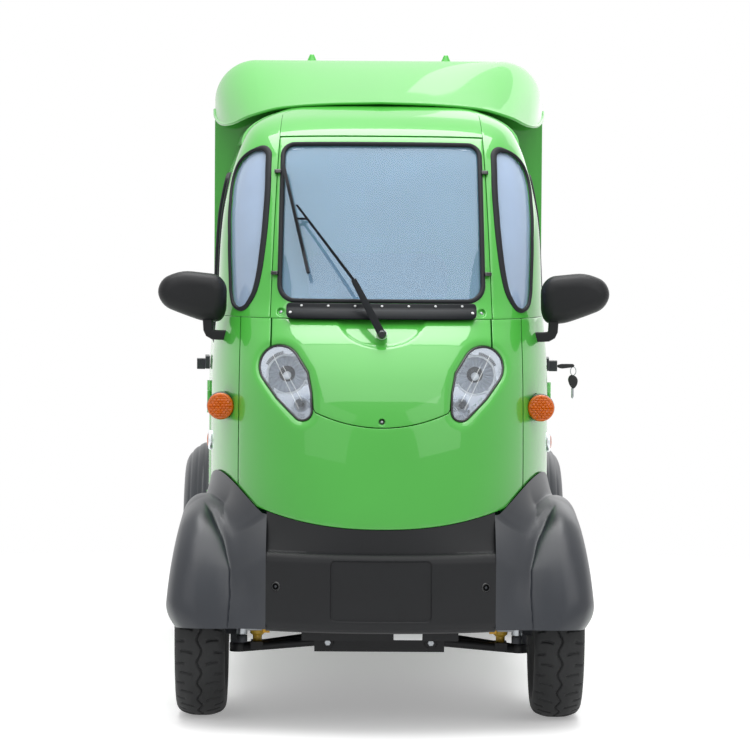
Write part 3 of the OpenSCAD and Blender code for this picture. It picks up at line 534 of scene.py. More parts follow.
# Camera, world, lamps and floor
cam = bpy.data.objects.new("camera", bpy.data.cameras.new("camera"))
bpy.context.scene.collection.objects.link(cam)
cam.data.lens, cam.data.sensor_width = 182.5, 36
cam.location = (-0.110, -11.015, 1.400)
aim = (Vector((-0.015, -1.015, 0.900)) - cam.location).to_track_quat("-Z", "Y")
cam.rotation_euler = (aim @ Quaternion((0, 0, 1), math.radians(0.4))).to_euler()
bpy.context.scene.camera = cam
bpy.context.scene.view_settings.view_transform = "Standard"

world = bpy.data.worlds.new("studio")
bpy.context.scene.world = world
world.use_nodes = True
wn = world.node_tree
sky = preset(wn.nodes["Background"], Color=(1, 1, 1, 1))
rays = add(wn, "LightPath")
# Strength as light, and as seen by the camera, in a reflection or through glass
mix = add(wn, "Mix", A=0.48, B=1.0)
seen = rays.outputs["Is Camera Ray"]
for other in ("Is Glossy Ray", "Is Transmission Ray"):
    most = add(wn, "Math")
    most.operation = "MAXIMUM"
    wn.links.new(seen, most.inputs[0])
    wn.links.new(rays.outputs[other], most.inputs[1])
    seen = most.outputs[0]
wn.links.new(seen, mix.inputs["Factor"])
wn.links.new(mix.outputs["Result"], sky.inputs["Strength"])


def lamp(name, at, to, size, power):
    d = bpy.data.lights.new(name, "AREA")
    d.shape, d.size, d.size_y, d.energy = "RECTANGLE", size[0], size[1], power
    o = bpy.data.objects.new(name, d)
    bpy.context.scene.collection.objects.link(o)
    o.location = at
    o.rotation_euler = (Vector(to) - Vector(at)).to_track_quat("-Z", "Y").to_euler()


lamp("key", (3.4, -4.8, 4.0), (0, -0.8, 0.9), (4.2, 4.2), 62)
lamp("fill", (-3.2, -5.0, 3.6), (0, -0.8, 0.9), (4.0, 4.0), 30)
lamp("sky", (0, -2.2, 4.8), (0, -2.2, 0), (5.2, 3.2), 120)
lamp("top", (0, 0.45, 4.7), (0, 0.45, 0), (3.6, 2.0), 130)
lamp("rear", (2.5, 5.5, 3.6), (0, 1.0, 0.9), (4, 4), 45)

# The floor fades out round the part and is clear from below
bpy.ops.mesh.primitive_plane_add(size=8)
floor = bpy.context.object
floor.name = "floor"
fm = bpy.data.materials.new("floor_white")
fm.use_nodes = True
fn = fm.node_tree
fb = preset(fn.nodes["Principled BSDF"], Base_Color=(0.95, 0.95, 0.95, 1), Roughness=0.9,
            Specular_IOR_Level=0.1, Emission_Color=(1, 1, 1, 1), Emission_Strength=0.3)
away = add(fn, "VectorMath")
away.operation = "LENGTH"
fn.links.new(add(fn, "TexCoord").outputs["Object"], away.inputs[0])
fade = add(fn, "MapRange", From_Min=2.2, From_Max=3.6, To_Min=1.0, To_Max=0.0)
fn.links.new(away.outputs["Value"], fade.inputs["Value"])
above = add(fn, "Math")
above.operation = "SUBTRACT"
above.inputs[0].default_value = 1.0
fn.links.new(add(fn, "NewGeometry").outputs["Backfacing"], above.inputs[1])
solid = add(fn, "Math")
solid.operation = "MULTIPLY"
fn.links.new(fade.outputs["Result"], solid.inputs[0])
fn.links.new(above.outputs["Value"], solid.inputs[1])
fn.links.new(solid.outputs["Value"], fb.inputs["Alpha"])
floor.data.materials.append(fm)

# Finish on every solid that stays visible
PAINTED = {sp["node"]: sp["material_slot"] for sp in frame["record"]["subparts"]}
for node, ob in frame["nodes"].items():
    ob.data.materials.clear()
    ob.data.materials.append(MAT[PAINTED[node]])
    weld = ob.modifiers.new("weld", "WELD")
    weld.merge_threshold = 0.00002
    edge = ob.modifiers.new("edge", "BEVEL")
    edge.width = 0.0018 if PAINTED[node] in ("paint", "charcoal", "slate") else 0.0012
    edge.segments = 2
    edge.limit_method = "ANGLE"
    edge.angle_limit = math.radians(38)
    edge.harden_normals = True

# Cab panels: the lamps' outline is two arcs joined by straight lines
LAMP_BIG, LAMP_BIG_R, LAMP_TIP, LAMP_TIP_R = (262, 928), 56, (203, 822), 27
LAMP_IN, LAMP_OUT = [[178, 868], [188, 918]], [[271, 849]]
LAMP = np.concatenate([arc(LAMP_BIG, LAMP_BIG_R, -35, 150, 22), LAMP_IN[::-1],
                       arc(LAMP_TIP, LAMP_TIP_R, 172, 312, 14), LAMP_OUT])
LID_X, LID_RISE, BONNET_SCREW = 170, 36, (0, 798)


def arch_low(to3d, u, h0, h1):
    """Height where the wheel arch cuts the skin, for each place along it."""
    hs = np.linspace(h0, h1, 400)
    out = []
    for k in u:
        p = to3d(points(k, hs), 0.0)
        clear = np.hypot(p[:, 1] - AXF, p[:, 2] - AXZ) >= ARCH_R
        out.append(hs[np.argmax(clear)] if clear.any() else h1)
    return np.array(out)


def lid_edge(x, h):
    return points(x, h + LID_RISE * (x / LID_X) ** 2)


nose_x = np.linspace(0, SEAM, 60)
nose_low = np.maximum(smile(nose_x), arch_low(front_map, nose_x, 420, 800))
nose_half = np.concatenate([
    points(nose_x, nose_low), [[SEAM, BELT], [289, BELT], [289, 979]],
    arc(LAMP_BIG, LAMP_BIG_R, 60, -35, 16), LAMP_OUT, arc(LAMP_TIP, LAMP_TIP_R, -48, -188, 14),
    [[173, 822]], lid_edge(np.linspace(LID_X, 0, 14), 782)])
nose_loop = np.concatenate([nose_half, flip(nose_half)[1:-1]])
lid_half = np.concatenate([
    lid_edge(np.linspace(0, LID_X, 14), 783.4), [[175, 828]], LAMP_IN,
    arc(LAMP_BIG, LAMP_BIG_R, 150, 66, 16), [[286, 982], [286, BELT], [0, BELT]]])
lid_loop = np.concatenate([lid_half, flip(lid_half)[1:-1]])


def spot(c, radii):
    """Rings of points round a small feature."""
    m = 16
    return np.concatenate([[c]] + [arc(c, r, 0, 360 - 360 / m, m) for r in radii])


def lamp_recess(p):
    """Sunken border of the headlamps."""
    d = edge_dist(np.abs(p), LAMP)
    return 8 * np.clip(1 - d / 22, 0, 1) ** 2


DIP_W, DIP_H, DIP_TOP = 118, 74, 1052


def bonnet_dish(p):
    """Dip below the wiper, the screw's hole and the lamps' borders."""
    e = np.hypot(p[:, 0] / DIP_W, (DIP_TOP - p[:, 1]) / DIP_H)
    hole = np.hypot(p[:, 0], p[:, 1] - BONNET_SCREW[1])
    return 7 * smooth01((1 - e) / 0.13) + 6 * smooth01((9.5 - hole) / 2.5) + lamp_recess(p)


borders = np.concatenate([resample(offset(lp, -k), 7) for k in (4, 8, 12, 17, 22)
                          for lp in (LAMP, flip(LAMP))])
panel("nose_skin", front_map, nose_loop, nodes=["nose_panel"], gap=0.3, roll=2, dish=lamp_recess,
      extra=borders)
dip_a = np.radians(np.linspace(181, 359, 70))
dip = [points(DIP_W * k * np.cos(dip_a), DIP_TOP + DIP_H * k * np.sin(dip_a))
       for k in (0.84, 0.88, 0.92, 0.96, 1.0, 1.04)]
dip = [r[r[:, 1] < BELT - 6] for r in dip]
panel("bonnet_skin", front_map, lid_loop, nodes=["bonnet_cover"], gap=0.3, roll=2, dish=bonnet_dish,
      extra=np.concatenate(dip + [borders, spot(BONNET_SCREW, (3, 5.5, 7, 8, 9.5, 12))]))
SCREEN = np.concatenate([arc((226, 1138), 42, -90, -4, 9), arc((232, 1478), 32, 2, 90, 9),
                         arc((-232, 1478), 32, 90, 178, 9), arc((-226, 1138), 42, 184, 270, 9)])
SCREEN_TOP = 1530
frame_h = np.linspace(BELT, SCREEN_TOP, 40)
frame_half = points(seam_at(frame_h), frame_h)
frame_loop = np.concatenate([frame_half, flip(frame_half)])
COWL_SCREW = (263, 1066)


def screw_dish(p):
    d = np.hypot(np.abs(p[:, 0]) - COWL_SCREW[0], p[:, 1] - COWL_SCREW[1])
    return 6 * smooth01((12 - d) / 5)


panel("screen_surround", front_map, frame_loop, [SCREEN], nodes=["windscreen_frame"], gap=0.3, roll=2,
      dish=screw_dish, extra=np.concatenate([spot((k * COWL_SCREW[0], COWL_SCREW[1]),
                                                  (3, 6, 7.5, 9, 10.5, 12, 14)) for k in (-1, 1)]))
panel("windscreen_glass", front_map, offset(SCREEN, 0.5), mat="glass", nodes=["windscreen"], thick=5, d0=5,
      step=16)

# Corner panels, laid out by the distance round the corner
UP_L, LOW_L, UP_TOP, SEAM_GAP = 420.0, 520.0, 1631, 0.8
QUARTER = rounded_loop([
    [302, 1488], [314, 1502], [340, 1498], [366, 1484], [386, 1460], [398, 1424], [404, 1380], [405, 1230],
    [399, 1110], [392, 1080], [376, 1068], [358, 1074], [334, 1112], [321, 1172], [310, 1270],
    [303, 1380]], 30, 4)
INDICATOR = (421, 820)


def up_start(h):
    return seam_at(h) + SEAM_GAP


def low_start(h):
    return 0 * h + SEAM + SEAM_GAP


def laid_out(start, length, loop):
    return points(round_corner(start, length, loop[:, 0], loop[:, 1]), loop[:, 1])


QUARTER_S = laid_out(up_start, UP_L, QUARTER)
up_h = np.linspace(BELT, UP_TOP, 50)
UP_LOOP = np.concatenate([points(0, up_h)[::-1], points(UP_L, up_h)])
low_s = np.linspace(0, LOW_L, 70)
low_edge = points(low_s, arch_low(side_map(low_start, LOW_L, 1), low_s, 380, 900))
LOW_LOOP = np.concatenate([low_edge, [[LOW_L, BELT], [0, BELT]]])
lamp_hole = laid_out(low_start, LOW_L, arc(INDICATOR, 36.3, 106, 254, 24))


def cab_corner(s, side):
    upper, lower = side_map(up_start, UP_L, s), side_map(low_start, LOW_L, s)
    panel("corner_skin_" + side, upper, UP_LOOP, [QUARTER_S], nodes=["corner_panels"], gap=0.3, roll=2)
    panel("lower_skin_" + side, lower, LOW_LOOP, [lamp_hole], nodes=["lower_corners"], gap=0.3, roll=2)
    panel("quarter_glass_" + side, upper, offset(QUARTER_S, 0.5), mat="side_glass",
          nodes=["quarter_glass"], thick=5, d0=6, step=16)


both(cab_corner)

# Cab roof: the part above the windscreen, and the part behind it up to the box
rows = np.linspace(SCREEN_TOP + 3, 1632, 24)
cols = np.linspace(-1, 1, 60)
front_roof = [[cab(cols * seam_at(h), np.full(60, h), d) for h in rows] for d in (0.0, WALL)]
grid("roof_front", front_roof[0], "paint", nodes=["cab_roof"], back=front_roof[1])
EDGE = np.array([[r[3], r[4]] for r in RIBS if r[0] >= SCREEN_TOP])
ROOF_LOW, ROOF_RISE, ROOF_ROUND = 1508, 126, 2 / 2.2


def roof_point(a, v, d):
    up = np.cos(a) ** ROOF_ROUND
    y0 = np.minimum(blend(EDGE, 1, ROOF_LOW + ROOF_RISE * up), DOOR_Y + 200) + 10
    y = y0 + (BACK - y0) * v
    half = CAB_W - 78 + (y - DOOR_Y) * math.tan(YAW) - d
    x = np.sign(a) * half * np.abs(np.sin(a)) ** ROOF_ROUND
    return points(x, y, ROOF_LOW + (ROOF_RISE - d) * up)


angs = np.linspace(-math.pi / 2, math.pi / 2, 80)
angs[0], angs[-1] = angs[0] + 1e-4, angs[-1] - 1e-4
back_roof = [[roof_point(angs, v, d) for v in np.linspace(0, 1, 10)] for d in (0.0, WALL)]
grid("roof_back", back_roof[0], "paint", nodes=["cab_roof"], back=back_roof[1])

# Fairing over the cab: shares of its back edge that are side and corner
SIDE_SHARE, CORNER_SHARE, TOP_SHARE = 0.28, 0.34, 0.38


def rim_at(u, d):
    t = np.clip(u, 0, 1) * (len(RIM) - 1)
    tab = np.concatenate([np.arange(len(RIM))[:, None], RIM], 1)
    x, y, z = (blend(tab, c, t) for c in (1, 2, 3))
    return points(x * (1 - d / BOX_W), y + d, z)


def fairing_back(u, d):
    w, t, r, z0 = BOX_W - d, BOX_TOP - d, BOX_R - d, RIM[0, 2]
    b = np.radians(np.clip((u - SIDE_SHARE) / CORNER_SHARE, 0, 1) * 90)
    side, corner = u < SIDE_SHARE, u < SIDE_SHARE + CORNER_SHARE
    across = (w - r) * (1 - (u - SIDE_SHARE - CORNER_SHARE) / TOP_SHARE)
    x = np.where(side, w, np.where(corner, w - r + r * np.cos(b), across))
    z = np.where(side, z0 + (t - r - z0) * u / SIDE_SHARE, np.where(corner, t - r + r * np.sin(b), t))
    return points(x, BACK, z)


def fairing_point(u, v, d):
    f, b = rim_at(1 - np.abs(u), d), fairing_back(1 - np.abs(u), d)
    c = 1 - v ** 1.15
    x = np.sign(u) * (f[:, 0] + (b[:, 0] - f[:, 0]) * c)
    return points(x, b[:, 1] + (f[:, 1] - b[:, 1]) * v, f[:, 2] + (b[:, 2] - f[:, 2]) * c)


us = np.concatenate([np.linspace(-1, -1e-6, 110), np.linspace(1e-6, 1, 110)[1:]])
shell = [np.array([fairing_point(us, v, d) for v in np.linspace(1, 0, 44)]) for d in (0.0, 8.0)]
grid("fairing_shell", shell[0], "paint", nodes=["box_fairing"], back=shell[1])
lip = shell[0][0]
sweep("fairing_lip", lip, unit(lip - shell[0][1]) + [0, -0.4, 0.2], circle(4.5), "paint", closed=False)

# Bumper: row, height and depth of its face, then a ledge up to the nose
FACE = np.array([[0, 262, 30], [1, 270, 10], [2, 290, 0], [3, 360, 0], [4, 430, 0], [5, 450, 4],
                 [6, 462, 14], [7, 467, 28]], float)
FACE_ROWS, LEDGE_Z, LEDGE_Y = 7, 467, 28


def bumper_drop(x):
    return 400 * (1 - np.sqrt(1 - (x / 560) ** 2))


def bumper_point(x, k, d):
    y0 = NOSE + bumper_drop(x)
    if k <= FACE_ROWS:
        z, y = blend(FACE, 1, k), np.maximum(blend(FACE, 2, k), 0)
        return points(x, y0 + y + d, z - d * 0.7 * min(1, max(0, k - 5)))
    u, t = (k - FACE_ROWS) / 3, smile(x)
    y = (y0 + LEDGE_Y) * (1 - u) + (cab(x, t)[:, 1] - 2) * u + d * (1 - 0.4 * u)
    return points(x, y, LEDGE_Z + (t - 0.5 - LEDGE_Z) * u - d * 0.7 * (1 - u))


def plate_recess(x, z):
    """Depth of the recess for the number plate."""
    dist = np.hypot(np.maximum(np.abs(x) - 117, 0), np.maximum(np.abs(z - 372) - 66, 0))
    return 5.0 * np.clip((12 - dist) / 3, 0, 1)


edge_x = np.linspace(119, 131, 9)
bumper_x = np.unique(np.concatenate([np.linspace(-BUMPER_X, BUMPER_X, 120), edge_x, -edge_x]))
bumper_k = np.unique(np.concatenate([np.linspace(0, 7, 60), np.linspace(1.9, 2.25, 10),
                                     np.linspace(4.85, 5.3, 12), np.linspace(7, 10, 20)]))
outer = []
for k in bumper_k:
    p = bumper_point(bumper_x, k, 0.0)
    p[:, 1] += plate_recess(p[:, 0], p[:, 2])
    outer.append(p)
grid("bumper_shell", outer, "charcoal", nodes=["front_bumper"],
     back=[bumper_point(bumper_x, k, 9.0) for k in bumper_k])


# Front mudguards
def cab_side(y, h):
    n, ys, yc = blend(RIBS, 5, h), blend(RIBS, 4, h), blend(RIBS, 1, h)
    c = np.clip((y - ys) / (yc - ys), 0, 1)
    return blend(RIBS, 2, h) * (1 - c ** n) ** (1 / n)


def guard_edge(a):
    """Inner edge at an angle round the wheel: x and radius."""
    r = math.radians(a)
    if a < 29:
        return BUMPER_X, (AXF - NOSE - bumper_drop(BUMPER_X)) / math.cos(r)
    if a <= 50:
        return BUMPER_X, 424 - (a - 29) * 0.6
    k = ARCH_R + 3 if a < 100 else min(ARCH_R + 3, (AXF - DOOR_Y + 8) / math.cos(r))
    x = float(cab_side(AXF - k * math.cos(r), AXZ + k * math.sin(r))) + 5
    return max(BUMPER_X, x), k + max(0, 54 - a)


def guard_point(a, k, d):
    ex, er = guard_edge(a)
    ca, sa = math.cos(math.radians(a)), math.sin(math.radians(a))
    xo = WHEEL_FX + 57 + 31 * ca ** 2 - 28 * max(0, 1 - (a - 4) / 14) ** 2
    xe = max(WHEEL_FX - 58, ex + 22)
    xw = max(xe + 8, xo - 84)
    b = 0.0
    if k < 4:
        u = k / 4
        x, r = ex + (xe - ex) * u, GUARD_R + (er - GUARD_R) * (1 - u) ** 2
    elif k < 5:
        x, r = xe + (xw - xe) * (k - 4), GUARD_R
    else:
        b = (k - 5) / 5 * math.pi / 2
        x, r = xw + (xo - xw) * math.sin(b), GUARD_LIP + (GUARD_R - GUARD_LIP) * math.cos(b)
    x, r = x - d * math.sin(b), r - d * math.cos(b)
    return x, AXF - r * ca, AXZ + r * sa


# Height and x of the crease where the bulge starts
CREASE = np.array([[250, 390], [292, 388], [350, 384], [419, 386], [484, 404], [545, 437], [596, 480],
                   [650, 540]], float)


def front_guard(s, side):
    aa = np.linspace(4, 170, 130)
    kk = np.concatenate([np.linspace(0, 3, 10), np.linspace(3, 7, 60)[1:], np.linspace(7, 10, 22)[1:]])
    g = [np.array([[guard_point(a, k, d) for k in kk] for a in aa]) for d in (0.0, 5.0)]
    t = g[0][..., 0] - np.interp(g[0][..., 2], CREASE[:, 0], CREASE[:, 1])
    w = np.clip(t / 60, 0, 1)
    puff = 15 * np.sqrt(w * (2 - w)) - 5 * np.exp(-(t / 16) ** 2) * (t < 0) - 5 * (t >= 0)
    puff *= smooth01((80 - aa) / 24)[:, None] * (1 - smooth01((kk - 7.6) / 2.2))[None]
    ra = np.radians(aa)[:, None]
    g[0] = g[0] + points(0, -puff * np.cos(ra), puff * np.sin(ra))
    g = [q * [s, 1, 1] for q in g]
    if s < 0:
        g = [q[:, ::-1] for q in g]
    grid("front_guard_" + side, g[0], "slate", nodes=["front_mudguards"], back=g[1])


both(front_guard)

# Seals round the glass
screen_edge = resample(SCREEN, 8)
sweep("screen_seal", front_map(screen_edge, 0.0), surface_normal(front_map, screen_edge), bead(13, 5),
      "rubber")


def quarter_seal(s, side):
    to3d = side_map(up_start, UP_L, s)
    lp = resample(QUARTER_S, 8)
    wide = 0.75 + 0.55 * np.clip((np.median(lp[:, 0]) - lp[:, 0]) / 40, 0, 1)
    sweep("quarter_seal_" + side, to3d(lp, 0.0), surface_normal(to3d, lp) * s, bead(14, 5),
          "rubber", scale=wide)


both(quarter_seal)


# Headlamps
def lamp_unit(s, side):
    lp = LAMP if s > 0 else flip(LAMP)
    plate_y, big, small = -1112.0, (s * 245, 905), (s * 207, 832)
    plate_map = front_plane(plate_y)
    panel("lamp_lens_" + side, front_map, offset(lp, 5), mat="lens", nodes=["headlamp_lenses"], roll=2,
          thick=3, d0=8, step=9)
    edge = resample(offset(lp, 2.5), 6)
    sweep("lamp_gasket_" + side, front_map(edge, 9.0), surface_normal(front_map, edge),
          circle(3.0, 8), "black_gloss")
    wall = resample(offset(lp, 4), 6)
    skins = []
    for q in (wall, offset(wall, -1.5)):
        near_edge, far_edge = front_map(q, 13.0), plate_map(q, 0.0)
        skins.append([near_edge * (1 - t) + far_edge * t for t in np.linspace(0, 1, 8)])
    grid("lamp_wall_" + side, skins[0], "reflector", nodes=["headlamp_bowls"], wrap=True, back=skins[1])
    panel("lamp_plate_" + side, plate_map, offset(lp, 4.5),
          [arc(big, 48, 0, 354, 60), arc(small, 18, 0, 350, 36)], mat="reflector", hole_roll=3, thick=4,
          step=8)

    def flutes(g):
        rel = (g - [big[0], 0, big[1]]) * [1, 0, 1]
        ang = np.arctan2(rel[..., 2], rel[..., 0])
        r = np.linalg.norm(rel, axis=-1)
        g = g.copy()
        g[..., 1] += 3.0 * np.cos(ang * 22) * np.clip((r - 20) / 12, 0, 1) * np.clip((48 - r) / 5, 0, 1)
        return g

    at = (big[0], plate_y, big[1])
    turned("lamp_dish_" + side, [(0.4, 31), (18, 30), (22, 29), (28, 25), (36, 18), (42, 11), (46, 5),
                                 (48, 0), (49.5, 0.5), (49.5, 36), (0.4, 36)],
           at, ASTERN, "dish", m=176, shape=flutes)
    turned("lamp_core_" + side, [(0.4, 25), (16, 25), (20, 27), (21, 30), (21, 34), (0.4, 34)],
           at, ASTERN, "cast")
    turn = np.linspace(0, 2 * math.pi, 72, endpoint=False)
    ring = points(big[0] + 50 * np.cos(turn), plate_y - 2, big[1] + 50 * np.sin(turn))
    sweep("lamp_ring_" + side, ring, AHEAD, circle(2.4, 8), "white")
    turned("lamp_bulb_" + side, [(0.4, 30), (6, 29), (9.5, 25), (10.5, 18), (10.5, 8), (7, -4), (6, -20)],
           (at[0], plate_y + 30, at[2] - 4), AHEAD, "white", m=32)
    pod = (small[0], plate_y - 110, small[1])
    turned("lamp_pod_" + side, [(0.4, 19), (15.6, 19), (15.6, 3), (18, -1), (20, 2), (20, 112), (0.4, 112)],
           pod, ASTERN, "reflector", m=40)
    turned("lamp_pod_dish_" + side, [(0.4, 16), (8, 15), (13, 10), (15.2, 3), (15.5, 3), (15.5, 18),
                                     (0.4, 18)], pod, ASTERN, "dish", m=40)
    turned("lamp_pod_bulb_" + side, [(0.4, 9), (4.5, 8), (7, 5), (8, 0), (8, -10), (4, -14)],
           pod, AHEAD, "cast", m=28)
    for k in range(12):
        a = math.radians(28 + 4.6 * k)
        r = np.array([53.5, 57, 61])
        tooth = points(big[0] + s * r * math.cos(a), plate_y - 3, big[1] + r * math.sin(a))
        sweep(f"lamp_comb_{side}_{k}", tooth, AHEAD, circle(1.5, 6), "cast", closed=False)
    for k, off in enumerate((0, 26)):
        line = points(np.linspace(281 - off, 212 - off * 0.3, 24),
                      np.linspace(958 - off, 826 + off * 0.8, 24)) * [s, 1]
        sweep(f"lamp_rib_{side}_{k}", front_map(line, 8.2), surface_normal(front_map, line),
              circle(0.65, 6), "white", closed=False)


both(lamp_unit)

# Direction lamps, with a lens of small bricks, and side markers
BRICK_W, BRICK_H, LENS_R, MARKER_Z = 10, 6.5, 34.8, 712


def indicator(s, side):
    x0, y0, z0 = s * 419.0, -1109.0, INDICATOR[1]
    rim = [31.5, 33, 34.2, LENS_R, LENS_R, LENS_R]
    rr, aa = np.meshgrid(np.concatenate([np.linspace(0.3, 30, 30), rim]),
                         np.linspace(0, 2 * math.pi, 96, endpoint=False), indexing="ij")
    px, pz = rr * np.cos(aa), rr * np.sin(aa)
    row = np.floor(pz / BRICK_H)
    from_x = 1 - np.abs(((px + (row % 2) * 5) / BRICK_W) % 1 - 0.5) * 2
    from_z = 1 - np.abs((pz / BRICK_H) % 1 - 0.5) * 2
    brick = np.clip(np.minimum(from_x * BRICK_W / 2, from_z * BRICK_H / 2) / 1.4, 0, 1) * (rr < 29)
    dome = 6 * (rr / LENS_R) ** 2.5 + np.concatenate([np.zeros(30), [0, 0.6, 2, 5, 12, 26]])[:, None]
    g = points(x0 + s * px, y0 + dome + 2.4 * (1 - brick) * (rr < 30), z0 + pz)
    grid("indicator_lens_" + side, g, "amber", nodes=["indicators"], wrap=True, angle=30, cap=True)
    turned("indicator_base_" + side, [(34, 24), (36, 26), (36, 60), (35.4, 88), (20, 88)],
           (x0, y0, z0), ASTERN, "black_gloss", m=64)

    def oval(g):
        g = g.copy()
        g[..., 2] = MARKER_Z + (g[..., 2] - MARKER_Z) * 1.35
        return g

    at = (s * CAB_W, AXF + 215, MARKER_Z)
    turned("marker_lens_" + side, [(0.4, 9), (8, 8.4), (13, 6.2), (15, 2), (15, -6)],
           at, (s, 0, 0), "amber", m=36, shape=oval)
    turned("marker_bezel_" + side, [(15, -4), (15.4, 4), (17, 5), (19, 3.5), (20, 0.5), (20, -4)],
           at, (s, 0, 0), "reflector", m=36, shape=oval)


both(indicator)


# Cowl strip, rivets, clips, screws
def on_skin(x, h, d=0.0):
    p = np.array([[x, h]], float)
    return front_map(p, d)[0], surface_normal(front_map, p)[0]


def stud(name, x, h, d, r, high, mat):
    at, n = on_skin(x, h, d)
    turned(name, [(0.3, high), (r * 0.6, high * 0.85), (r * 0.92, high * 0.45), (r, 0), (r, -2)], at, n,
           mat, m=20)


def round_bar(p):
    return -8 * np.sqrt(np.clip(1 - ((p[:, 1] - 1063) / 13.5) ** 2, 0, 1))


strip = box_loop(-249, 249, BELT, BELT + 41, [18, 18, 12, 12])
panel("cowl_strip", front_map, strip, mat="cowl", nodes=["cowl_vent"], roll=2, thick=7, d0=-9, step=4,
      dish=round_bar)
# The rivet heads are white: a painted highlight standing for the glints on them
for i, x in enumerate(np.linspace(-209, 211, 7)):
    stud(f"cowl_rivet_{i}", x, 1084, -9, 3.4, 2.2, "white")
for k in (-1, 1):
    stud(f"cowl_end_rivet_{k + 1}", k * 238, 1067, -16.5, 4.2, 2.6, "white")
    stud(f"cowl_screw_{k + 1}", k * COWL_SCREW[0], COWL_SCREW[1], 6, 5, 2.5, "steel")
    for j, (x, h) in enumerate(((277, 1436), (282, 1167))):
        panel(f"screen_clip_{k + 1}_{j}", front_map, box_loop(k * x - 9, k * x + 9, h - 5, h + 5, 2),
              mat="black_gloss", roll=2, thick=9, d0=-9, step=5)
stud("bonnet_cup", *BONNET_SCREW, 6.4, 8.6, 0.8, "black_gloss")
stud("bonnet_screw", *BONNET_SCREW, 5.8, 4, 2.2, "steel")

# Wiper
WIPER_Z = 1015
spindle_y = on_skin(0, 1006)[0][1]
elbow = on_skin(-72, 1150)[0] + [0, -42, 0]
arm_end = on_skin(-224, 1345)[0] + [0, -38, 0]
blade_top = on_skin(-262, 1452)[0] + [0, -22, 0]
blade_low = on_skin(-192, 1168)[0] + [0, -22, 0]
turned("wiper_washer", [(3, 3), (13, 3), (14, 1), (14, -12)], (0, spindle_y - 2, WIPER_Z), (0, -1, 0.3),
       "white", m=32)
turned("wiper_spindle", [(2, 36), (8, 35), (11, 30), (12, 20), (11, 8), (9, 0)], (0, spindle_y, WIPER_Z),
       AHEAD, "black_gloss", m=32, nodes=["wiper"])


def strut(name, a, b, wide_a, wide_b, high, mat, bow=0.0):
    """Tapered bar between two points, bowed forward."""
    m = 12
    t = np.linspace(0, 1, m)
    path = np.asarray(a) * (1 - t)[:, None] + np.asarray(b) * t[:, None]
    path = path + np.outer(np.sin(t * math.pi) * bow, AHEAD)
    sweep(name, path, AHEAD, box_loop(-0.5, 0.5, -0.5 * high, 0.5 * high, 0.3, 3), mat, closed=False,
          scale=np.linspace(wide_a, wide_b, m))


strut("wiper_arm", (0, spindle_y - 22, WIPER_Z), elbow, 21, 15, 11, "cowl", bow=3)
strut("wiper_rod", elbow, arm_end, 8, 6, 6, "cowl")
strut("wiper_link", arm_end + [26, 8, -36], (blade_top + blade_low) / 2, 6, 5, 7, "cowl")
strut("wiper_bridge", blade_top * 0.8 + blade_low * 0.2, blade_top * 0.2 + blade_low * 0.8, 6, 6, 9, "cowl",
      bow=7)
strut("wiper_blade", blade_top, blade_low, 9, 9, 7, "rubber")

# Mirrors, which stand a little to the right
MIRROR_SHIFT = 8
MIRROR = rounded_loop([[417, 1132], [440, 1160], [535, 1170], [588, 1150], [604, 1112], [585, 1074],
                       [540, 1056], [478, 1034], [432, 1034], [418, 1062]], 26, 5)
STEM = np.array([[404, 0, 999], [430, 0, 999], [445, 0, 1000], [454, 0, 1005], [458, 0, 1014],
                 [459, 0, 1030], [460, 0, 1046]], float)


def mirror_unit(s, side):
    lp = (MIRROR if s > 0 else flip(MIRROR)) + [MIRROR_SHIFT, 0]
    mid = lp.mean(0)

    def dome(p):
        return 9 * (np.hypot(np.abs(p[:, 0] - MIRROR_SHIFT) - 505, (p[:, 1] - 1104) * 1.3) / 90) ** 2

    panel("mirror_head_" + side, front_plane(AXF + 62), lp, mat="charcoal", nodes=["mirrors"],
          roll=30, thick=46, step=7, dish=dome)
    panel("mirror_face_" + side, rear_plane(AXF + 111), mid + (lp - mid) * 0.9, mat="mirror",
          nodes=["mirror_glass"], thick=3, step=13)
    sweep("mirror_stem_" + side, STEM * [s, 1, 1] + [0, AXF + 98, 0], AHEAD,
          box_loop(-13, 13, -12, 12, 5, 4), "charcoal", closed=False)


both(mirror_unit)

# Doors
DOOR_EDGE = rounded_loop([[6, 340], [608, 340], [608, 1500], [80, 1500], [46, 1440], [16, 1300], [6, 1100]],
                         [26, 26, 30, 40, 60, 80, 80])
WINDOW = rounded_loop([[56, 968], [552, 968], [552, 1424], [104, 1424], [68, 1300]],
                      [46, 46, 46, 46, 120], 7)
HINGE_OUT, HINGE_HALF = 8, 15


def swage(p):
    """Shallow pressed panel below the window."""
    q = np.hypot(np.maximum(np.abs(p[:, 0] - 300) - 200, 0), np.maximum(np.abs(p[:, 1] - 610) - 130, 0))
    return 6 * smooth01((44 - q) / 24)


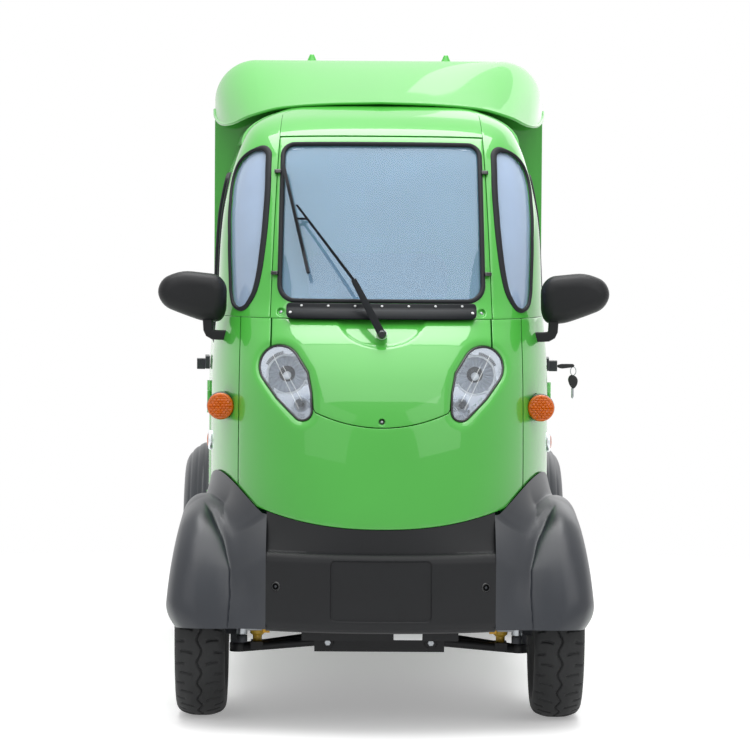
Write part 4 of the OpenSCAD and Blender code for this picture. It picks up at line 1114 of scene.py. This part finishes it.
def door_unit(s, side):
    to3d, body = door_map(s), "cab_door_" + side
    panel("door_skin_" + side, to3d, DOOR_EDGE, [WINDOW], body=body, nodes=["door_" + side], roll=4,
          thick=35, step=14, dish=swage)
    panel("door_pane_" + side, to3d, offset(WINDOW, 1), mat="glass", body=body,
          nodes=["door_glass_" + side], thick=5, d0=14, step=24)
    lp = resample(WINDOW, 10)
    sweep("door_seal_" + side, to3d(lp, 1.0), surface_normal(to3d, lp) * s, bead(18, 6),
          "rubber", body=body)
    for i, z in enumerate((520, 820)):
        at = [s * (CAB_W + HINGE_OUT * math.cos(YAW)), DOOR_Y - HINGE_OUT * math.sin(YAW), z]
        turned(f"door_knuckle_{side}_{i}", [(3.2, -HINGE_HALF), (6.5, -HINGE_HALF), (6.5, HINGE_HALF),
                                            (3.2, HINGE_HALF)], at, (0, 0, 1), "paint", body=body, m=28)
        panel(f"door_leaf_{side}_{i}", to3d, box_loop(7, 45, z - HINGE_HALF, z + HINGE_HALF, 5, 4),
              body=body, roll=1, thick=6, d0=-4)


both(door_unit)


# Keys in the right door's lock
def flat_key(name, pts, r, y, thick, mat):
    panel(name, front_plane(y), rounded_loop(pts, r, 5), mat=mat, body="cab_door_right", roll=1.2,
          thick=thick, step=5)


flat_key("key_bow", [[519, 878], [532, 875], [566, 879], [569, 884], [565, 889], [532, 889], [519, 886]],
         4, -82, 7, "black_gloss")
flat_key("key_head", [[556, 858], [570, 856], [579, 845], [577, 828], [566, 815], [555, 826], [549, 845]],
         8, -82, 8, "black_gloss")
flat_key("key_blade", [[560, 820], [567, 820], [567, 794], [563.5, 788], [560, 792]], 1.5, -80, 3, "steel")
ring_a = np.linspace(0, 2 * math.pi, 28, endpoint=False)
key_ring = points(565 + 8 * np.cos(ring_a), -78, 868 + 12 * np.sin(ring_a))
sweep("key_ring", key_ring, AHEAD, circle(1.2, 6), "steel", body="cab_door_right")


# Bolts, nuts and the blank plate
def hexagon(name, at, axis, r, high, mat, body="chassis"):
    turned(name, [(r * 0.5, high), (r * 0.86, high), (r, high - 1.5), (r, 0), (r * 0.5, 0)], at, axis, mat,
           body=body, m=6, angle=20)


for k in (-1, 1):
    at = (k * 267, NOSE + float(bumper_drop(267.0)), 380)
    tilt = (k * 0.387, -1, 0)
    turned(f"bumper_well_{k + 1}", [(6.5, -5), (7.2, 0), (8.6, 2.2), (10.6, 2.6), (12.4, 0.6), (12.4, -4)],
           at, tilt, "black_gloss", m=40)
    # A near-black disc in the hole round the bolt: painted shade
    turned(f"bumper_hole_shade_{k + 1}", [(0.4, 0.5), (7, 0.4), (7, -3)], at, tilt, "void", m=32)
    hexagon(f"bumper_bolt_{k + 1}", at, tilt, 4, 1.0, "cast")
    turned(f"arm_bush_{k + 1}", [(8, 3), (12, 3), (15, 1.5), (16, 0), (16, -8)], (k * 135, AXF - 107, 205),
           AHEAD, "frame", m=36)
    hexagon(f"arm_bolt_{k + 1}", (k * 135, AXF - 106, 205), AHEAD, 9, 8, "steel")
    hexagon(f"rod_nut_{k + 1}", (k * 286, AXF - 140, 246), (k, 0, 0), 14, 20, "brass", body="steer_rods")
panel("blank_plate", front_plane(NOSE + 162.6), box_loop(35, 109, 231, 261, 2, 3), mat="white", roll=0.6,
      thick=2, step=12)


# Rear mudguards with pressed ribs
def rear_guard(s, side):
    aa, bb = np.radians(np.linspace(-2, 182, 110))[:, None], np.linspace(0, math.pi / 2, 60)
    ribs = np.exp(-((np.sin(bb) * REAR_GUARD_W % 22 - 11) / 3.2) ** 2)
    wave = 1.8 * ribs * np.clip(bb / 0.3, 0, 1) * np.clip((1.5 - bb) / 0.3, 0, 1)
    out = []
    for d, rib in ((0.0, wave), (5.0, 0 * wave)):
        r = GUARD_LIP + (90 - d) * np.cos(bb) - rib * np.cos(bb)
        x = BOX_W + (REAR_GUARD_W - d) * np.sin(bb) - rib * np.sin(bb)
        out.append(points(s * x, AXR - np.cos(aa) * r, AXZ + np.sin(aa) * r))
    grid("rear_guard_" + side, out[0], "slate", nodes=["rear_mudguards"], back=out[1])


both(rear_guard)

# Tyres: radius and place across of the section, and the tread that repeats round it
TYRE = np.array([[165, -46], [177, -52], [199, -64], [217, -64], [231, -55], [239, -38], [243, -20],
                 [243, 20], [239, 38], [231, 55], [217, 64], [199, 64], [177, 52], [165, 46]], float)
PITCHES, ROUND, SIDEWALL, TREAD_DEEP = 24, 576, 62, 4.5


def tyre(name, x, y, s):
    run = np.concatenate([[0], np.cumsum(np.linalg.norm(np.diff(TYRE, axis=0), axis=1))])
    tab = np.concatenate([run[:, None], TYRE], 1)
    far = run[-1] - SIDEWALL
    t = np.concatenate([np.linspace(0, SIDEWALL, 13)[:-1], np.linspace(SIDEWALL, far, 57),
                        np.linspace(far, run[-1], 13)[1:]])
    aa, qq = np.meshgrid(np.linspace(0, 2 * math.pi, ROUND, endpoint=False), blend(tab, 2, t))
    rr = np.repeat(blend(tab, 1, t)[:, None], ROUND, 1)
    tread = np.clip((rr - 224) / 6, 0, 1)
    groove = np.exp(-((qq - 5.5 * np.sin(aa * PITCHES)) / 2.6) ** 4)
    out = np.abs(qq)
    turn = aa * PITCHES / (2 * math.pi) + 0.5 * (qq > 0) + 0.012 * out - 0.00016 * out ** 2
    sipe = np.exp(-((np.abs(turn % 1 - 0.5)) / 0.055) ** 4) * smooth01((out - 15) / 4)
    sipe = sipe * smooth01((52 - out) / 6)
    nick = np.exp(-((np.abs((turn + 0.45) % 1 - 0.5)) / 0.05) ** 4) * smooth01((out - 36) / 4)
    rr = rr - tread * np.maximum(groove, np.maximum(sipe, nick)) * TREAD_DEEP
    g = points(x + s * qq, y + rr * np.cos(aa), AXZ + rr * np.sin(aa))
    if s > 0:
        g = g[:, ::-1]
    grid("tread_" + name, g, "tyre", body="wheel_" + name, nodes=["tyre_" + name], wrap=True, angle=35,
         ring=True)


for wheel in WHEELS:
    tyre(*wheel)

# Hub caps and wheel nuts
HUB_FACE, NUT_RING = 32.0, 27.0
for name, x, y, s in WHEELS:
    face, body = np.array([x + s * HUB_FACE, y, AXZ]), "wheel_" + name
    turned("hub_cap_" + name, [(0.4, 11), (9, 10), (15, 6), (17, 1), (17, -3)], face, (s, 0, 0), "alloy",
           body=body, m=40)
    for i in range(4):
        a = math.radians(45 + 90 * i)
        hexagon(f"wheel_nut_{name}_{i}", face + [0, NUT_RING * math.cos(a), NUT_RING * math.sin(a)],
                (s, 0, 0), 6.5, 8, "steel", body=body)


# Seat with a stitched cushion and back
def stitched(across, along, mid, half):
    """Crown of a cushion with its stitched grooves."""
    def groove(p):
        d = np.minimum(np.abs(np.abs(p[:, 0]) - across), np.min([np.abs(p[:, 1] - k) for k in along], 0))
        crown = (1 - (p[:, 0] / 210) ** 2) * (1 - ((p[:, 1] - mid) / half) ** 2)
        return 7 * np.exp(-(d / 5) ** 2) - 16 * np.clip(crown, 0, 1)
    return groove


def lean_back(p, d):
    c, q = math.cos(math.radians(8)), math.sin(math.radians(8))
    y, z = -90 + d, p[:, 1]
    return points(p[:, 0], BACK - 105 + y * c + z * q, 640 - y * q + z * c)


panel("seat_cushion", flat_top(680), box_loop(-210, 210, BACK - 470, BACK - 70, 36), mat="seat_skin",
      nodes=["seat"], roll=34, thick=120, step=9,
      dish=stitched(120, (BACK - 370, BACK - 270, BACK - 170), BACK - 270, 200))
panel("seat_back", lean_back, box_loop(-200, 200, 40, 560, [20, 20, 60, 60]), mat="seat_skin",
      nodes=["seat"], roll=30, thick=86, step=9, dish=stitched(115, (140, 240, 340, 440), 300, 260))
panel("seat_pedestal", flat_top(570), box_loop(-170, 170, BACK - 440, BACK - 60, 14), mat="frame",
      nodes=["seat"], roll=4, thick=244, step=24)


# Tail lamps and the latch of the load doors
def fluted(p):
    return 1.2 * (1 - np.cos(p[:, 1] * 2 * math.pi / 10))


def tail_lamp(s, side):
    for kind, x0, x1 in (("red", BOX_W - 96, BOX_W - 30), ("amber", BOX_W - 132, BOX_W - 98)):
        loop = box_loop(x0, x1, 470, 540, 7)
        panel(f"tail_lens_{kind}_{side}", rear_plane(TAIL - 6), loop if s > 0 else flip(loop), mat=kind,
              nodes=["tail_lamps"], roll=4, thick=18, step=3, dish=fluted)


both(tail_lamp)
panel("latch_plate", rear_plane(TAIL + 3), box_loop(24, 66, 880, 1020, 10), mat="black_gloss",
      body="box_door_right", roll=1.5, thick=4)
panel("latch_handle", rear_plane(TAIL + 10), box_loop(33, 57, 900, 990, 9), mat="black_gloss",
      body="box_door_right", roll=5, thick=8, step=5)
turned("latch_lock", [(0.4, 3), (5, 2.6), (6.5, 1), (6.5, -2)], (45, TAIL + 3, 1006), ASTERN, "steel",
       body="box_door_right", m=28)
